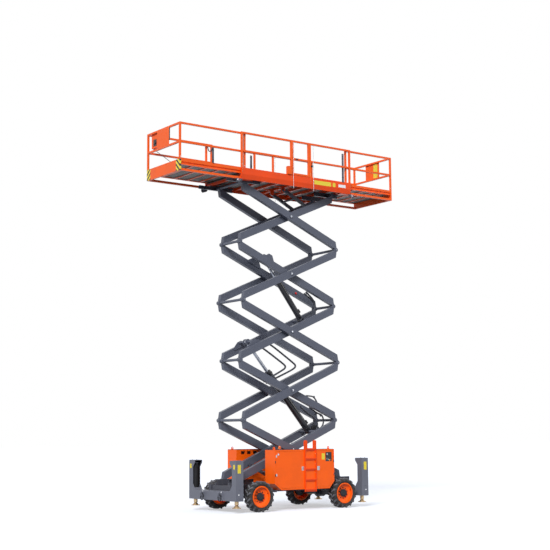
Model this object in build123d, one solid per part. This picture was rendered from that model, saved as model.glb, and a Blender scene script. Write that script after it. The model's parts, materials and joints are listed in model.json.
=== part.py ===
from build123d import *
import os
from math import asin, atan2, cos, degrees, hypot, radians, sin, sqrt

os.makedirs("parts", exist_ok=True)

# Rough-terrain scissor lift: five scissor stages on a four-wheeled chassis with four levelling
# jacks, and a platform with two roll-out decks.  Millimetres.  +X forward, +Y to the left, +Z up,
# Z = 0 at the ground and X = 0 at the middle of the rolled-out platform.

# ---- wheels and axles
MID_X = -100
WHEELBASE = 2860
TYRE_R = 410
TYRE_W = 300
TYRE_Y = 1000
TREAD_DEPTH = 26
SHOULDER = 16
BAND_STEP = 8
BEAD_GAP = 6
LUG_COUNT = 16
LUG_W = 46
LUG_LENGTH = 122
LUG_SLANT = 28
RIM_R = 262
RIM_FLANGE_R = 284
RIM_WALL = 12
RIM_INSET = 30
RIM_FLANGE_W = 16
DISC_SET_BACK = 105
DISC_T = 14
DISH_R = 185
HUB_R = 105
HUB_OUT = 55
AXLE_R = 45
KINGPIN_Y = 875
KINGPIN_R = 20
YOKE_IN, YOKE_OUT = 78, 110
FIT_GAP = 0.3

# ---- scissor arms
STAGES = 5
ARM_LENGTH = 3670
ARM_DEPTH = 200
ARM_WIDTH = 130
REST_ANGLE = 26.56
STACK_GAP = 8
OUTER_LANE = 576
INNER_LANE = 422
BASE_PIN_Z = 800
END_CUT = 110
END_TIP = 20
EAR_R = 60
FORK_T = 22
SIDE_GAP = 3
PIN_R = 25
PIN_GAP = 0.5
CROSS_TUBE_R = 38
CENTRE_PIN_R = 32
CENTRE_CAP_R = 46
CENTRE_CAP_T = 14
CENTRE_HEAD_T = 8
ROLLER_R = 35
ROLLER_W = 50
ROLLER_STAND_OFF = 12
MOVE_GAP = 5

# ---- centring links
LINK_DEPTH = 84
LINK_WIDTH = 60
LINK_LANE = 315

# ---- lift cylinders: places along and above the pin-to-pin line of the arm that carries them
LOWER_BASE_S, LOWER_BASE_T = 1150, -15
LOWER_EYE_S, LOWER_EYE_T = -1130, 235
UPPER_BASE_S, UPPER_BASE_T = 893, 5
UPPER_EYE_S, UPPER_EYE_T = 700, 212
LOWER_BARREL_R = 88
LOWER_ROD_R = 46
UPPER_BARREL_R = 76
UPPER_ROD_R = 42
BARREL_STOP = 120
BASE_TUBE_R = 45
EYE_PLATE_T = 20
EYE_PLATE_R = 84
GUSSET_T = 20
GUSSET_FOOT = 60

# ---- chassis
BEAM_Y = 470
BEAM_W = 120
BEAM_BOTTOM = 500
BEAM_TOP = 720
CHANNEL_T = 8
NOSE_X, NOSE_D, NOSE_Y = 1610, 90, 610
NOSE_BOTTOM, NOSE_H = 555, 130
DIFF_R = 130
DIFF_HALF = 115

# ---- outriggers
OUTRIGGER_BEYOND = 342
TYRE_CLEAR = 60
OUTRIGGER_D = 240
OUTRIGGER_Y = 1146
LEG_Y = 1000
LEG_R = 55
PAD_R = 120
PAD_Z = 130
PAD_T = 14
PAD_RISE = 90
OUTRIGGER_WALL = 12
JACK_TUBE_R = 76
JACK_GLAND = 40
TIE_LUG_Y = (-430, 430)
TIE_LUG_OUT = 45
TIE_HOLE_R = 26

# ---- cabinets
CABINET_FRONT = 1000
CABINET_REAR = -1050
CABINET_IN = 690
CABINET_OUT = 1132
CABINET_BOTTOM = 560
CABINET_TOP = 1632
CABINET_WALL = 40
CABINET_ARM_X = (CABINET_REAR + 250, 0, CABINET_FRONT - 200)
CABINET_FRONT_CUT = (220, 170)
CABINET_REAR_CUT = (175, 200)
DOOR_T = 40
DOOR_GAP = 5
HINGE_R = 9
HINGE_H = 70
LEAF_W = 32
LEAF_T = 4
DOOR_HINGE_Z = (930, 1430)
LATCH_X = (-590, -52)
LATCH_Z, LATCH_W, LATCH_DEPTH = 1120, 80, 10
CONTROL_X = (-1068, -845)
CONTROL_Z = (1300, 1553)
CONTROL_DEPTH = 24
CONTROL_SUNK = 14
LIFT_EYES = (-1045, 830)
LIFT_EYE_Y = 1000
VENTS_X = (261, 468, 675)
VENT_W = 135
VENT_Z = (1500, 1585)
BEACON_XY = (640, 1000)
LADDER_D = 38
LADDER_X, LADDER_HALF = -300, 195
STILE_T = 12
STEP_Z = (540, 810, 1100, 1380, 1640)
HAND_W, HAND_RISE = 80, 248

# ---- platform
DECK_FRONT = 1800
DECK_REAR = -2090
POST = 50
MAIN_POST_Y = 900
EXT_POST_Y = 835
DECK_END_X = 3750
DECK_SIDE = 875
FLOOR_OVER_PIN = 145
FLOOR_T = 15
FOLD_OVER_PIN = 135
MEMBER_W, MEMBER_H, MEMBER_COUNT = 60, 70, 9
EXT_BEAM_IN, EXT_BEAM_OUT = 805, 860
RIB_OVER_PIN, RIB_H, RIB_COUNT = 165, 19, 5
EXT_FLOOR_T = 6
BRACKET_T = 18
CARRY_R = 36
TOP_CHANNEL_SPARE = (318, 48)
PANEL_BOX_Y = (-690, -380)
TOE_TOP_OVER_PIN = 315
MID_RAIL_OVER_PIN = 790
TOP_RAIL_OVER_PIN = 1300
EXT_FRONT_IN = 1330
EXT_REAR_IN = -1670
FRONT_LANE = (755, 790)
REAR_LANE = (712, 745)
LEDGE_T = 12
END_PLATE_Y = 315
GATE_FRONT, GATE_REAR = 75, -600
GATE_HINGE_Y = 861
GATE_PIN_R = 7
GATE_BARREL_R = 13

HALF_OFFSET = (ARM_DEPTH + STACK_GAP) / 2
HALF_SPAN = sqrt(ARM_LENGTH**2 - (2 * HALF_OFFSET)**2) / 2
LINE_ANGLE = degrees(atan2(HALF_OFFSET, HALF_SPAN))
ARM_TILT = REST_ANGLE - LINE_ANGLE
STAGE_RISE = ARM_LENGTH * sin(radians(REST_ANGLE))
TOP_PIN_Z = BASE_PIN_Z + STAGES * STAGE_RISE
OUTER_FACE = OUTER_LANE + ARM_WIDTH / 2
INNER_FACE = INNER_LANE - ARM_WIDTH / 2


def block(x0, x1, y0, y1, z0, z1):
    return Pos((x0 + x1) / 2, (y0 + y1) / 2, (z0 + z1) / 2) * Box(abs(x1 - x0), abs(y1 - y0), abs(z1 - z0))


def round_y(x, z, radius, y0, y1):
    return Pos(x, (y0 + y1) / 2, z) * Rot(90, 0, 0) * Cylinder(radius, abs(y1 - y0))


def round_x(y, z, radius, x0, x1):
    return Pos((x0 + x1) / 2, y, z) * Rot(0, 90, 0) * Cylinder(radius, abs(x1 - x0))


def round_z(x, y, radius, z0, z1):
    return Pos(x, y, (z0 + z1) / 2) * Cylinder(radius, abs(z1 - z0))


def side_plate(points, y0, y1):
    """A plate of the given outline in X and Z, from y0 to y1."""
    face = make_face(Polyline(*[(x, 0, z) for x, z in points], close=True))
    solid = extrude(face, amount=abs(y1 - y0), dir=(0, 1, 0))
    return Pos(0, min(y0, y1), 0) * solid


def bar_along_x(points, x0, x1):
    """A bar of the given outline in Y and Z, from x0 to x1."""
    face = make_face(Polyline(*[(0, y, z) for y, z in points], close=True))
    return Pos(min(x0, x1), 0, 0) * extrude(face, amount=abs(x1 - x0), dir=(1, 0, 0))


def left_and_right(shape):
    return shape + mirror(shape, Plane.XZ)


def turned_over(shape):
    """The same arm leaning the other way."""
    return mirror(shape, Plane.YZ)


def save(shape, name):
    export_step(shape, f"parts/{name}.step")


def arm_point(along, above):
    """Arm's own X and Z of a place given along and above its pin-to-pin line."""
    c, s = cos(radians(LINE_ANGLE)), sin(radians(LINE_ANGLE))
    return along * c - above * s, along * s + above * c


# ============================================================ scissor arms
# Each arm is a box beam with its end pins just outside opposite edges, so that the stages can lie
# flat on each other.  Its own X runs along the beam, with its upper end at +X.

def arm_beam(lane):
    half, depth = HALF_SPAN, ARM_DEPTH / 2
    outline = [(-half - END_TIP, -depth), (half - END_CUT, -depth),
               (half + END_TIP, depth), (-half + END_CUT, depth)]
    return side_plate(outline, lane - ARM_WIDTH / 2, lane + ARM_WIDTH / 2)


def tongue_end(arm, lane, x, z):
    """Middle ear with the cross tube and pin that join this arm to the fork of its neighbour."""
    edge = ARM_WIDTH / 2
    core = edge - FORK_T - SIDE_GAP
    for y0, y1 in ((lane - edge, lane - core), (lane + core, lane + edge)):
        arm -= round_y(x, z, EAR_R + MOVE_GAP, y0, y1)
    arm += round_y(x, z, EAR_R, lane - core, lane + core)
    return arm + round_y(x, z, PIN_R, lane - edge - SIDE_GAP, lane + edge)


def fork_end(arm, lane, x, z):
    """Two outer ears around the neighbour's tongue."""
    edge = ARM_WIDTH / 2
    inner = edge - FORK_T
    arm -= round_y(x, z, EAR_R + MOVE_GAP, lane - inner, lane + inner)
    for y0, y1 in ((lane - edge, lane - inner), (lane + inner, lane + edge)):
        arm += round_y(x, z, EAR_R, y0, y1)
    return arm - round_y(x, z, PIN_R + PIN_GAP, lane - edge, lane + edge)


def roller_end(arm, lane, x, z, outward):
    """Ear, stub and roller that runs in a slide channel beside the arm."""
    edge = ARM_WIDTH / 2
    arm += round_y(x, z, EAR_R, lane - edge, lane + edge)
    face = lane + outward * edge
    start = face + outward * ROLLER_STAND_OFF
    arm += round_y(x, z, PIN_R, face, start)
    return arm + round_y(x, z, ROLLER_R, start, start + outward * ROLLER_W)


def cross_tube(x, z, lane, radius=CROSS_TUBE_R):
    reach = lane - ARM_WIDTH / 2
    return round_y(x, z, radius, -reach, reach)


def arm_pair(lane, top_end, bottom_end, outward):
    """Left and right arm of one plane, with what each end carries."""
    arm = arm_beam(lane)
    tubes = []
    for end, side in ((top_end, 1), (bottom_end, -1)):
        x, z = side * HALF_SPAN, side * HALF_OFFSET
        if end == "tongue":
            arm = tongue_end(arm, lane, x, z)
            tubes.append(cross_tube(x, z, lane - SIDE_GAP))
        elif end == "fork":
            arm = fork_end(arm, lane, x, z)
        else:
            arm = roller_end(arm, lane, x, z, outward)
            if outward > 0:
                tubes.append(cross_tube(x, z, lane))
    pair = left_and_right(arm)
    for tube in tubes:
        pair += tube
    return pair


def outer_pair(top_end, bottom_end):
    pair = arm_pair(OUTER_LANE, top_end, bottom_end, 1)
    bore = round_y(0, 0, CENTRE_PIN_R + PIN_GAP, OUTER_LANE - ARM_WIDTH, OUTER_FACE + 1)
    return pair - left_and_right(bore)


def centre_pins():
    """Headed pin through both arms on each side, with a spacer between them and a cap outside."""
    inner_edge = INNER_LANE + ARM_WIDTH / 2
    pin = round_y(0, 0, CENTRE_PIN_R, INNER_FACE - FIT_GAP, OUTER_FACE + SIDE_GAP)
    pin += round_y(0, 0, CENTRE_CAP_R, INNER_FACE - FIT_GAP - CENTRE_HEAD_T, INNER_FACE - FIT_GAP)
    pin += round_y(0, 0, CENTRE_CAP_R, inner_edge + FIT_GAP, OUTER_LANE - ARM_WIDTH / 2 - SIDE_GAP)
    pin += round_y(0, 0, CENTRE_CAP_R, OUTER_FACE + SIDE_GAP, OUTER_FACE + SIDE_GAP + CENTRE_CAP_T)
    return left_and_right(pin)


def inner_pair(top_end, bottom_end):
    pair = arm_pair(INNER_LANE, top_end, bottom_end, -1)
    bore = round_y(0, 0, CENTRE_PIN_R + FIT_GAP, INNER_FACE - 1, INNER_LANE + ARM_WIDTH / 2 + 1)
    return pair - left_and_right(bore) + centre_pins()


def cylinder_base(along, above):
    """Tube across the inner arms that the cylinder's foot turns on."""
    x, z = arm_point(along, above)
    return cross_tube(x, z, INNER_LANE, BASE_TUBE_R)


def cylinder_eye_mount(along, above, half_gap, spread):
    """Gussets on both inner arms, a tube from each, and two plates that hold the rod's eye."""
    x, z = arm_point(along, above)
    top = ARM_DEPTH / 2
    foot = top - GUSSET_FOOT
    crest, crest_z = EYE_PLATE_R * 0.7, z + EYE_PLATE_R * 0.5
    outline = [(x - spread, foot), (x + spread, foot), (x + spread, top), (x + crest, crest_z),
               (x - crest, crest_z), (x - spread, top)]
    gusset_face = INNER_FACE - MOVE_GAP
    mount = side_plate(outline, gusset_face - GUSSET_T, gusset_face)
    mount += block(x - spread, x + spread, gusset_face - 1, INNER_FACE + 1, foot, top - MOVE_GAP)
    mount += round_y(x, z, CROSS_TUBE_R, half_gap, gusset_face)
    mount += round_y(x, z, EYE_PLATE_R, half_gap, half_gap + EYE_PLATE_T)
    return left_and_right(mount)


def link_stud(along):
    x, z = arm_point(along, 0)
    return left_and_right(round_y(x, z, PIN_R, LINK_LANE - LINK_WIDTH / 2 - 6, INNER_FACE))


LOWER_GAP = LOWER_ROD_R + MOVE_GAP + 4
UPPER_GAP = UPPER_ROD_R + MOVE_GAP + 4
QUARTER = ARM_LENGTH / 4
BRACE_S, BRACE_T = 1300, 20


def stage_shapes():
    """Outer and inner pair of each stage, top stage first, each in its own upright frame."""
    shapes = {}
    outer_ends = [("roller", "fork")] + [("tongue", "fork")] * 3 + [("tongue", "roller")]
    for number, (top_end, bottom_end) in enumerate(outer_ends, start=1):
        shapes[number] = [outer_pair(top_end, bottom_end), inner_pair(top_end, bottom_end)]
    brace_x, brace_z = arm_point(-BRACE_S, BRACE_T)
    shapes[1][1] += cross_tube(brace_x, brace_z, INNER_LANE) + link_stud(QUARTER)
    shapes[2][1] += cylinder_eye_mount(UPPER_EYE_S, UPPER_EYE_T, UPPER_GAP, 230)
    shapes[3][1] += cylinder_base(UPPER_BASE_S, UPPER_BASE_T)
    shapes[3][1] += cylinder_eye_mount(LOWER_EYE_S, LOWER_EYE_T, LOWER_GAP, 260)
    shapes[5][1] += cylinder_base(LOWER_BASE_S, LOWER_BASE_T) + link_stud(-QUARTER)
    return shapes


def stage_centre(number):
    return TOP_PIN_Z - (number - 0.5) * STAGE_RISE


def build_arms():
    """Outer arms rise forward in odd stages and backward in even ones, inner arms the other way."""
    for number, (outer, inner) in stage_shapes().items():
        if number % 2:
            inner = turned_over(inner)
        else:
            outer = turned_over(outer)
        outer_tilt = -ARM_TILT if number % 2 else ARM_TILT
        place = Pos(MID_X, 0, stage_centre(number))
        save(place * Rot(0, outer_tilt, 0) * outer, f"arms_outer_{number}")
        save(place * Rot(0, -outer_tilt, 0) * inner, f"arms_inner_{number}")


def centring_link():
    """Pair of bars, a quarter of an arm long, from a pivot at the origin forward and up."""
    inner, outer = LINK_LANE - LINK_WIDTH / 2, LINK_LANE + LINK_WIDTH / 2
    bar = block(0, QUARTER, inner, outer, -LINK_DEPTH / 2, LINK_DEPTH / 2)
    for x in (0, QUARTER):
        bar += round_y(x, 0, LINK_DEPTH / 2, inner, outer)
        bar -= round_y(x, 0, PIN_R + PIN_GAP, LINK_LANE - LINK_WIDTH, LINK_LANE + LINK_WIDTH)
    return left_and_right(bar) + round_y(QUARTER / 2, 0, 28, -inner, inner)


def build_links():
    link = Rot(0, -REST_ANGLE, 0) * centring_link()
    save(Pos(MID_X, 0, BASE_PIN_Z) * link, "centring_link_bottom")
    back_x = QUARTER * cos(radians(REST_ANGLE))
    down_z = QUARTER * sin(radians(REST_ANGLE))
    save(Pos(MID_X - back_x, 0, TOP_PIN_Z - down_z) * link, "centring_link_top")


# ============================================================ lift cylinders

def world_point(stage, along, above, rises_forward):
    """World X and Z of a place on an arm, from its pin-to-pin line."""
    c, s = cos(radians(REST_ANGLE)), sin(radians(REST_ANGLE))
    x, z = along * c - above * s, along * s + above * c
    return MID_X + (x if rises_forward else -x), stage_centre(stage) + z


def lift_cylinder(foot, eye, barrel_r, rod_r, name):
    """Barrel and rod along their own X from the foot, then leaned into place."""
    length = hypot(eye[0] - foot[0], eye[1] - foot[1])
    lean = degrees(atan2(eye[1] - foot[1], eye[0] - foot[0]))
    closed = CLOSED[name]
    gland = closed - BARREL_STOP
    barrel = round_x(0, 0, barrel_r, BASE_TUBE_R + 25, gland - 60)
    barrel += round_x(0, 0, barrel_r + 8, gland - 60, gland)
    foot_half = barrel_r * 0.8
    barrel += round_y(0, 0, BASE_TUBE_R + 28, -foot_half, foot_half)
    barrel -= round_y(0, 0, BASE_TUBE_R + PIN_GAP, -barrel_r - 1, barrel_r + 1)
    barrel -= round_x(0, 0, rod_r + FIT_GAP, BASE_TUBE_R + 55, gland + 1)
    rod = round_x(0, 0, rod_r, length - closed + BARREL_STOP + 40, length - EYE_PLATE_R * 0.5)
    rod += round_y(length, 0, EYE_PLATE_R * 0.75, -rod_r, rod_r)
    place = Pos(foot[0], 0, foot[1]) * Rot(0, -lean, 0)
    save(place * barrel, f"{name}_barrel")
    save(place * rod, f"{name}_rod")


CLOSED = {"lower_cylinder": 2340, "upper_cylinder": 1620}


def build_cylinders():
    lift_cylinder(world_point(5, LOWER_BASE_S, LOWER_BASE_T, False),
                  world_point(3, LOWER_EYE_S, LOWER_EYE_T, False),
                  LOWER_BARREL_R, LOWER_ROD_R, "lower_cylinder")
    lift_cylinder(world_point(3, UPPER_BASE_S, UPPER_BASE_T, False),
                  world_point(2, UPPER_EYE_S, UPPER_EYE_T, True),
                  UPPER_BARREL_R, UPPER_ROD_R, "upper_cylinder")


# ============================================================ chassis

def channel(x0, x1, web_y, open_y, z):
    """Slide channel: web at web_y, open towards open_y, round a roller at height z."""
    way = ROLLER_R + MOVE_GAP
    side = 1 if open_y > web_y else -1
    web = block(x0, x1, web_y, web_y + side * CHANNEL_T, z - way - CHANNEL_T, z + way + CHANNEL_T)
    top = block(x0, x1, web_y, open_y, z + way, z + way + CHANNEL_T)
    bottom = block(x0, x1, web_y, open_y, z - way - CHANNEL_T, z - way)
    return web + top + bottom


OUTER_CHANNEL = (OUTER_FACE + ROLLER_STAND_OFF + ROLLER_W + 4 + CHANNEL_T, OUTER_FACE + 8)
INNER_CHANNEL = (INNER_FACE - ROLLER_STAND_OFF - ROLLER_W - 4 - CHANNEL_T, INNER_FACE - 8)
PIN_REACH_MAX = HALF_SPAN + 100
PIN_REACH_MIN = 1110
# the outriggers stand clear of both the slide channels and the tyres
OUTRIGGER_X = round(max(PIN_REACH_MAX + OUTRIGGER_BEYOND,
                        WHEELBASE / 2 + TYRE_R + TYRE_CLEAR + OUTRIGGER_D))
END_CROSS = OUTRIGGER_X - 324
CROSS_X = (-END_CROSS, -900, 0, 900, END_CROSS)
CROSS_HALF = 50
CROSS_TOP = BEAM_TOP - 30
OUTER_BRACKET_X = (-PIN_REACH_MAX, -1550, -PIN_REACH_MIN - 60)
OUTER_BRACKET_BOTTOM = BEAM_TOP - 80


def build_slide_channels():
    """Channels on the chassis for the bottom arms' rollers: inner ones in front, outer ones behind."""
    bottom = BASE_PIN_Z - ROLLER_R - MOVE_GAP - CHANNEL_T
    front = channel(MID_X + PIN_REACH_MIN, MID_X + PIN_REACH_MAX, *INNER_CHANNEL, BASE_PIN_Z)
    front += block(MID_X + CROSS_X[3] - CROSS_HALF, MID_X + CROSS_X[4], *INNER_CHANNEL,
                   CROSS_TOP + FIT_GAP, bottom)
    rear = channel(MID_X - PIN_REACH_MAX, MID_X - PIN_REACH_MIN, *OUTER_CHANNEL, BASE_PIN_Z)
    rear += block(MID_X - PIN_REACH_MAX, MID_X - PIN_REACH_MIN, *OUTER_CHANNEL, OUTER_BRACKET_BOTTOM, bottom)
    save(left_and_right(front + rear), "slide_channels")


def build_chassis():
    half = OUTRIGGER_X - OUTRIGGER_D - FIT_GAP
    frame = left_and_right(block(MID_X - half, MID_X + half,
                                 BEAM_Y - BEAM_W / 2, BEAM_Y + BEAM_W / 2, BEAM_BOTTOM, BEAM_TOP))
    for x in CROSS_X:
        frame += block(MID_X + x - CROSS_HALF, MID_X + x + CROSS_HALF, -BEAM_Y, BEAM_Y,
                       BEAM_BOTTOM + BEAM_TOP - CROSS_TOP, CROSS_TOP)
    for x in OUTER_BRACKET_X:
        frame += left_and_right(block(MID_X + x, MID_X + x + 60, BEAM_Y, OUTER_CHANNEL[1] - FIT_GAP,
                                      OUTER_BRACKET_BOTTOM, BEAM_TOP))
    # cross beam in front of the axle
    frame += block(NOSE_X - NOSE_D, NOSE_X, -NOSE_Y, NOSE_Y, NOSE_BOTTOM, NOSE_BOTTOM + NOSE_H)
    # brackets of the bottom centring link
    bracket_y = LINK_LANE - LINK_WIDTH / 2 - 8
    bracket = block(MID_X - 60, MID_X + 60, bracket_y - 30, bracket_y, BEAM_TOP - 60, BASE_PIN_Z)
    bracket += round_y(MID_X, BASE_PIN_Z, 60, bracket_y - 30, bracket_y)
    bracket += round_y(MID_X, BASE_PIN_Z, PIN_R, bracket_y, LINK_LANE + LINK_WIDTH / 2 + 4)
    bracket += block(MID_X - 60, MID_X + 60, bracket_y - 30, BEAM_Y, BEAM_TOP - 60, BEAM_TOP - 20)
    frame += left_and_right(bracket)
    # arms under the cabinets
    for x in CABINET_ARM_X:
        frame += left_and_right(block(MID_X + x - 40, MID_X + x + 40, BEAM_Y, CABINET_IN + 200,
                                      BEAM_BOTTOM, CABINET_BOTTOM - FIT_GAP))
    save(frame, "chassis_frame")


def axle_beam(x, half_length):
    beam = block(x - 70, x + 70, -half_length, half_length, TYRE_R - 70, TYRE_R + 70)
    for y in (-BEAM_Y, BEAM_Y):
        beam += block(x - 70, x + 70, y - 50, y + 50, TYRE_R + 60, BEAM_BOTTOM - FIT_GAP)
    # differential: a drum about the drive shaft with a nose towards the middle of the machine
    inward = -1 if x > MID_X else 1
    beam += round_x(0, TYRE_R, DIFF_R, x - DIFF_HALF, x + DIFF_HALF)
    return beam + round_x(0, TYRE_R, DIFF_R / 2, x, x + inward * (DIFF_HALF + 90))


def build_axles():
    front_x = MID_X + WHEELBASE / 2
    rear_x = MID_X - WHEELBASE / 2
    front = axle_beam(front_x, KINGPIN_Y - 75)
    for side in (-1, 1):
        inner, outer = side * (KINGPIN_Y - 90), side * (KINGPIN_Y + 45)
        yoke = block(front_x - 50, front_x + 50, inner, outer, TYRE_R + YOKE_IN, TYRE_R + YOKE_OUT)
        yoke += block(front_x - 50, front_x + 50, inner, outer, TYRE_R - YOKE_OUT, TYRE_R - YOKE_IN)
        yoke += block(front_x - 50, front_x + 50, side * (KINGPIN_Y - 115), side * (KINGPIN_Y - 75),
                      TYRE_R - YOKE_OUT, TYRE_R + YOKE_OUT)
        front += yoke - round_z(front_x, side * KINGPIN_Y, KINGPIN_R + PIN_GAP, 0, 2 * TYRE_R)
    save(front, "front_axle")
    rear = axle_beam(rear_x, TYRE_Y - 190)
    for side in (-1, 1):
        rear += round_y(rear_x, TYRE_R, AXLE_R, side * (TYRE_Y - 190), side * (TYRE_Y + 40))
    save(rear, "rear_axle")


def build_knuckle(side, name):
    x, y = MID_X + WHEELBASE / 2, side * KINGPIN_Y
    reach = YOKE_IN - MOVE_GAP - 1
    knuckle = block(x - 40, x + 40, side * (KINGPIN_Y - 45), side * (KINGPIN_Y + 40),
                    TYRE_R - reach, TYRE_R + reach)
    knuckle += round_z(x, y, KINGPIN_R, TYRE_R - YOKE_OUT - 2, TYRE_R + YOKE_OUT + 2)
    knuckle += round_y(x, TYRE_R, AXLE_R, y, side * (TYRE_Y + 40))
    save(knuckle, name)


def wheel_rim(side):
    """Deep dish rim, turned about its own Z with the dish open upward: barrel, cone, disc and hub."""
    half = TYRE_W / 2 - RIM_INSET
    seat = half - RIM_FLANGE_W
    wall = RIM_R - RIM_WALL
    disc = half - DISC_SET_BACK
    bore = AXLE_R + PIN_GAP
    outline = [(0, disc + HUB_OUT - DISC_T), (0, disc + HUB_OUT), (HUB_R, disc + HUB_OUT),
               (HUB_R, disc + DISC_T), (DISH_R, disc + DISC_T), (wall, disc + DISC_T + 30), (wall, half),
               (RIM_FLANGE_R, half),
               (RIM_FLANGE_R, seat), (RIM_R, seat), (RIM_R, -seat), (RIM_FLANGE_R, -seat),
               (RIM_FLANGE_R, -half), (wall, -half), (wall, disc + 30), (DISH_R, disc), (bore, disc),
               (bore, disc + HUB_OUT - DISC_T)]
    rim = revolve(Plane.XZ * make_face(Polyline(*outline, close=True)), Axis.Z, 360)
    return rim if side > 0 else mirror(rim, Plane.XY)


def tyre_shape():
    """Carcass turned about its own Z, with two flat-sided tread bands, one for each row of lugs."""
    half = TYRE_W / 2
    root = TYRE_R - TREAD_DEPTH
    band_edge = half - SHOULDER
    seat = half - RIM_INSET - RIM_FLANGE_W - FIT_GAP
    side = [(RIM_R + FIT_GAP, seat), (RIM_FLANGE_R + BEAD_GAP, seat), ((RIM_FLANGE_R + root) / 2, half),
            (root - BAND_STEP, band_edge)]
    outline = [(r, -z) for r, z in side] + list(reversed(side))
    tyre = revolve(Plane.XZ * make_face(Polyline(*outline, close=True)), Axis.Z, 360)
    row_turn = 180 / LUG_COUNT
    lug_half = LUG_W / 2 * cos(radians(LUG_SLANT)) + LUG_LENGTH / 2 * sin(radians(LUG_SLANT))
    lug_top = sqrt(TYRE_R**2 - lug_half**2)
    lug = Box(lug_top - root + 4, LUG_W, LUG_LENGTH)
    for row, turn in ((1, 0), (-1, row_turn)):
        band = extrude(RegularPolygon(root, LUG_COUNT, major_radius=False), amount=row * band_edge)
        tyre += Rot(0, 0, turn) * band - Cylinder(root - 4 * BAND_STEP, TYRE_W)
        for number in range(LUG_COUNT):
            place = Pos((lug_top + root - 4) / 2, 0, row * band_edge / 2) * Rot(row * LUG_SLANT, 0, 0)
            tyre += Rot(0, 0, turn + row_turn * (2 * number + 1)) * place * lug
    return tyre


# name, end of the machine, side of the machine
CORNERS = (("front_left", 1, 1), ("front_right", 1, -1), ("rear_left", -1, 1), ("rear_right", -1, -1))


def build_wheels():
    tyre = tyre_shape()
    for name, end, side in CORNERS:
        place = Pos(MID_X + end * WHEELBASE / 2, side * TYRE_Y, TYRE_R) * Rot(-90, 0, 0)
        save(place * tyre, f"tyre_{name}")
        save(place * wheel_rim(side), f"rim_{name}")


# ============================================================ outriggers

def outrigger_frame():
    """Cross beam with a column at each side, in its own YZ profile; the columns open inward."""
    points = [(-OUTRIGGER_Y, 314), (OUTRIGGER_Y, 314), (OUTRIGGER_Y, 1368), (OUTRIGGER_Y - 290, 1368),
              (OUTRIGGER_Y - 290, 1300), (OUTRIGGER_Y - 190, 1180), (OUTRIGGER_Y - 190, 720),
              (OUTRIGGER_Y - 300, 560), (-OUTRIGGER_Y + 300, 560), (-OUTRIGGER_Y + 190, 720),
              (-OUTRIGGER_Y + 190, 1180), (-OUTRIGGER_Y + 290, 1300), (-OUTRIGGER_Y + 290, 1368),
              (-OUTRIGGER_Y, 1368)]
    frame = bar_along_x(points, 0, OUTRIGGER_D)
    wall = OUTRIGGER_WALL
    for side in (-1, 1):
        frame -= block(wall, OUTRIGGER_D - wall, side * (OUTRIGGER_Y - 400), side * (OUTRIGGER_Y - wall),
                       620, 1368 - wall)
        frame += round_z(OUTRIGGER_D / 2, side * LEG_Y, JACK_TUBE_R, 560, 1300)
        frame -= round_z(OUTRIGGER_D / 2, side * LEG_Y, LEG_R + MOVE_GAP, 314 + JACK_GLAND, 1250)
        frame -= round_z(OUTRIGGER_D / 2, side * LEG_Y, LEG_R + FIT_GAP, 200, 315 + JACK_GLAND)
    return frame


def build_outriggers():
    frame = outrigger_frame()
    lugs = None
    for y in TIE_LUG_Y:
        lug = block(OUTRIGGER_D - 1, OUTRIGGER_D + TIE_LUG_OUT, y - 12, y + 12, 400, 530)
        lug += round_y(OUTRIGGER_D + TIE_LUG_OUT, 465, 65, y - 12, y + 12)
        lug -= round_y(OUTRIGGER_D + TIE_LUG_OUT, 465, TIE_HOLE_R, y - 13, y + 13)
        lugs = lug if lugs is None else lugs + lug
    frame += lugs
    save(Pos(MID_X + OUTRIGGER_X - OUTRIGGER_D, 0, 0) * frame, "outrigger_front")
    rear = mirror(Pos(-OUTRIGGER_D, 0, 0) * frame, Plane.YZ)
    save(Pos(MID_X - OUTRIGGER_X, 0, 0) * rear, "outrigger_rear")
    for name, end, side in CORNERS:
        x = MID_X + end * (OUTRIGGER_X - OUTRIGGER_D / 2)
        leg = round_z(x, side * LEG_Y, LEG_R, PAD_Z + PAD_RISE - 1, 1240)
        foot = round_z(x, side * LEG_Y, PAD_R, PAD_Z, PAD_Z + PAD_T)
        bell = Cone(PAD_R * 0.7, LEG_R * 0.6, PAD_RISE - PAD_T)
        bell = Pos(x, side * LEG_Y, PAD_Z + (PAD_T + PAD_RISE) / 2) * bell
        save(leg + foot + bell, f"jack_leg_{name}")


# ============================================================ cabinets

def cabinet_outline(inset):
    """Side view of a cabinet, its lower corners cut away for the wheels, drawn in by inset."""
    x0, x1 = MID_X + CABINET_REAR + inset, MID_X + CABINET_FRONT - inset
    z0, z1 = CABINET_BOTTOM + inset, CABINET_TOP - inset
    front_x, front_z = CABINET_FRONT_CUT
    rear_x, rear_z = CABINET_REAR_CUT
    trim = inset * 0.4
    return [(x0 + rear_x - trim, z0), (x1 - front_x + trim, z0), (x1, z0 + front_z - trim), (x1, z1),
            (x0, z1), (x0, z0 + rear_z - trim)]


DOOR_BAYS = ((CABINET_REAR + 40, -420), (0, CABINET_FRONT - 40))


def door_bay(lo, hi, inset):
    """Opening for a door: a stretch of the cabinet's own outline, within its frame."""
    y0, y1 = CABINET_OUT - CABINET_WALL, CABINET_OUT + 1
    bay = block(MID_X + lo + inset, MID_X + hi - inset, y0, y1, 0, CABINET_TOP)
    return bay & side_plate(cabinet_outline(CABINET_WALL + inset), y0, y1)


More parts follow.
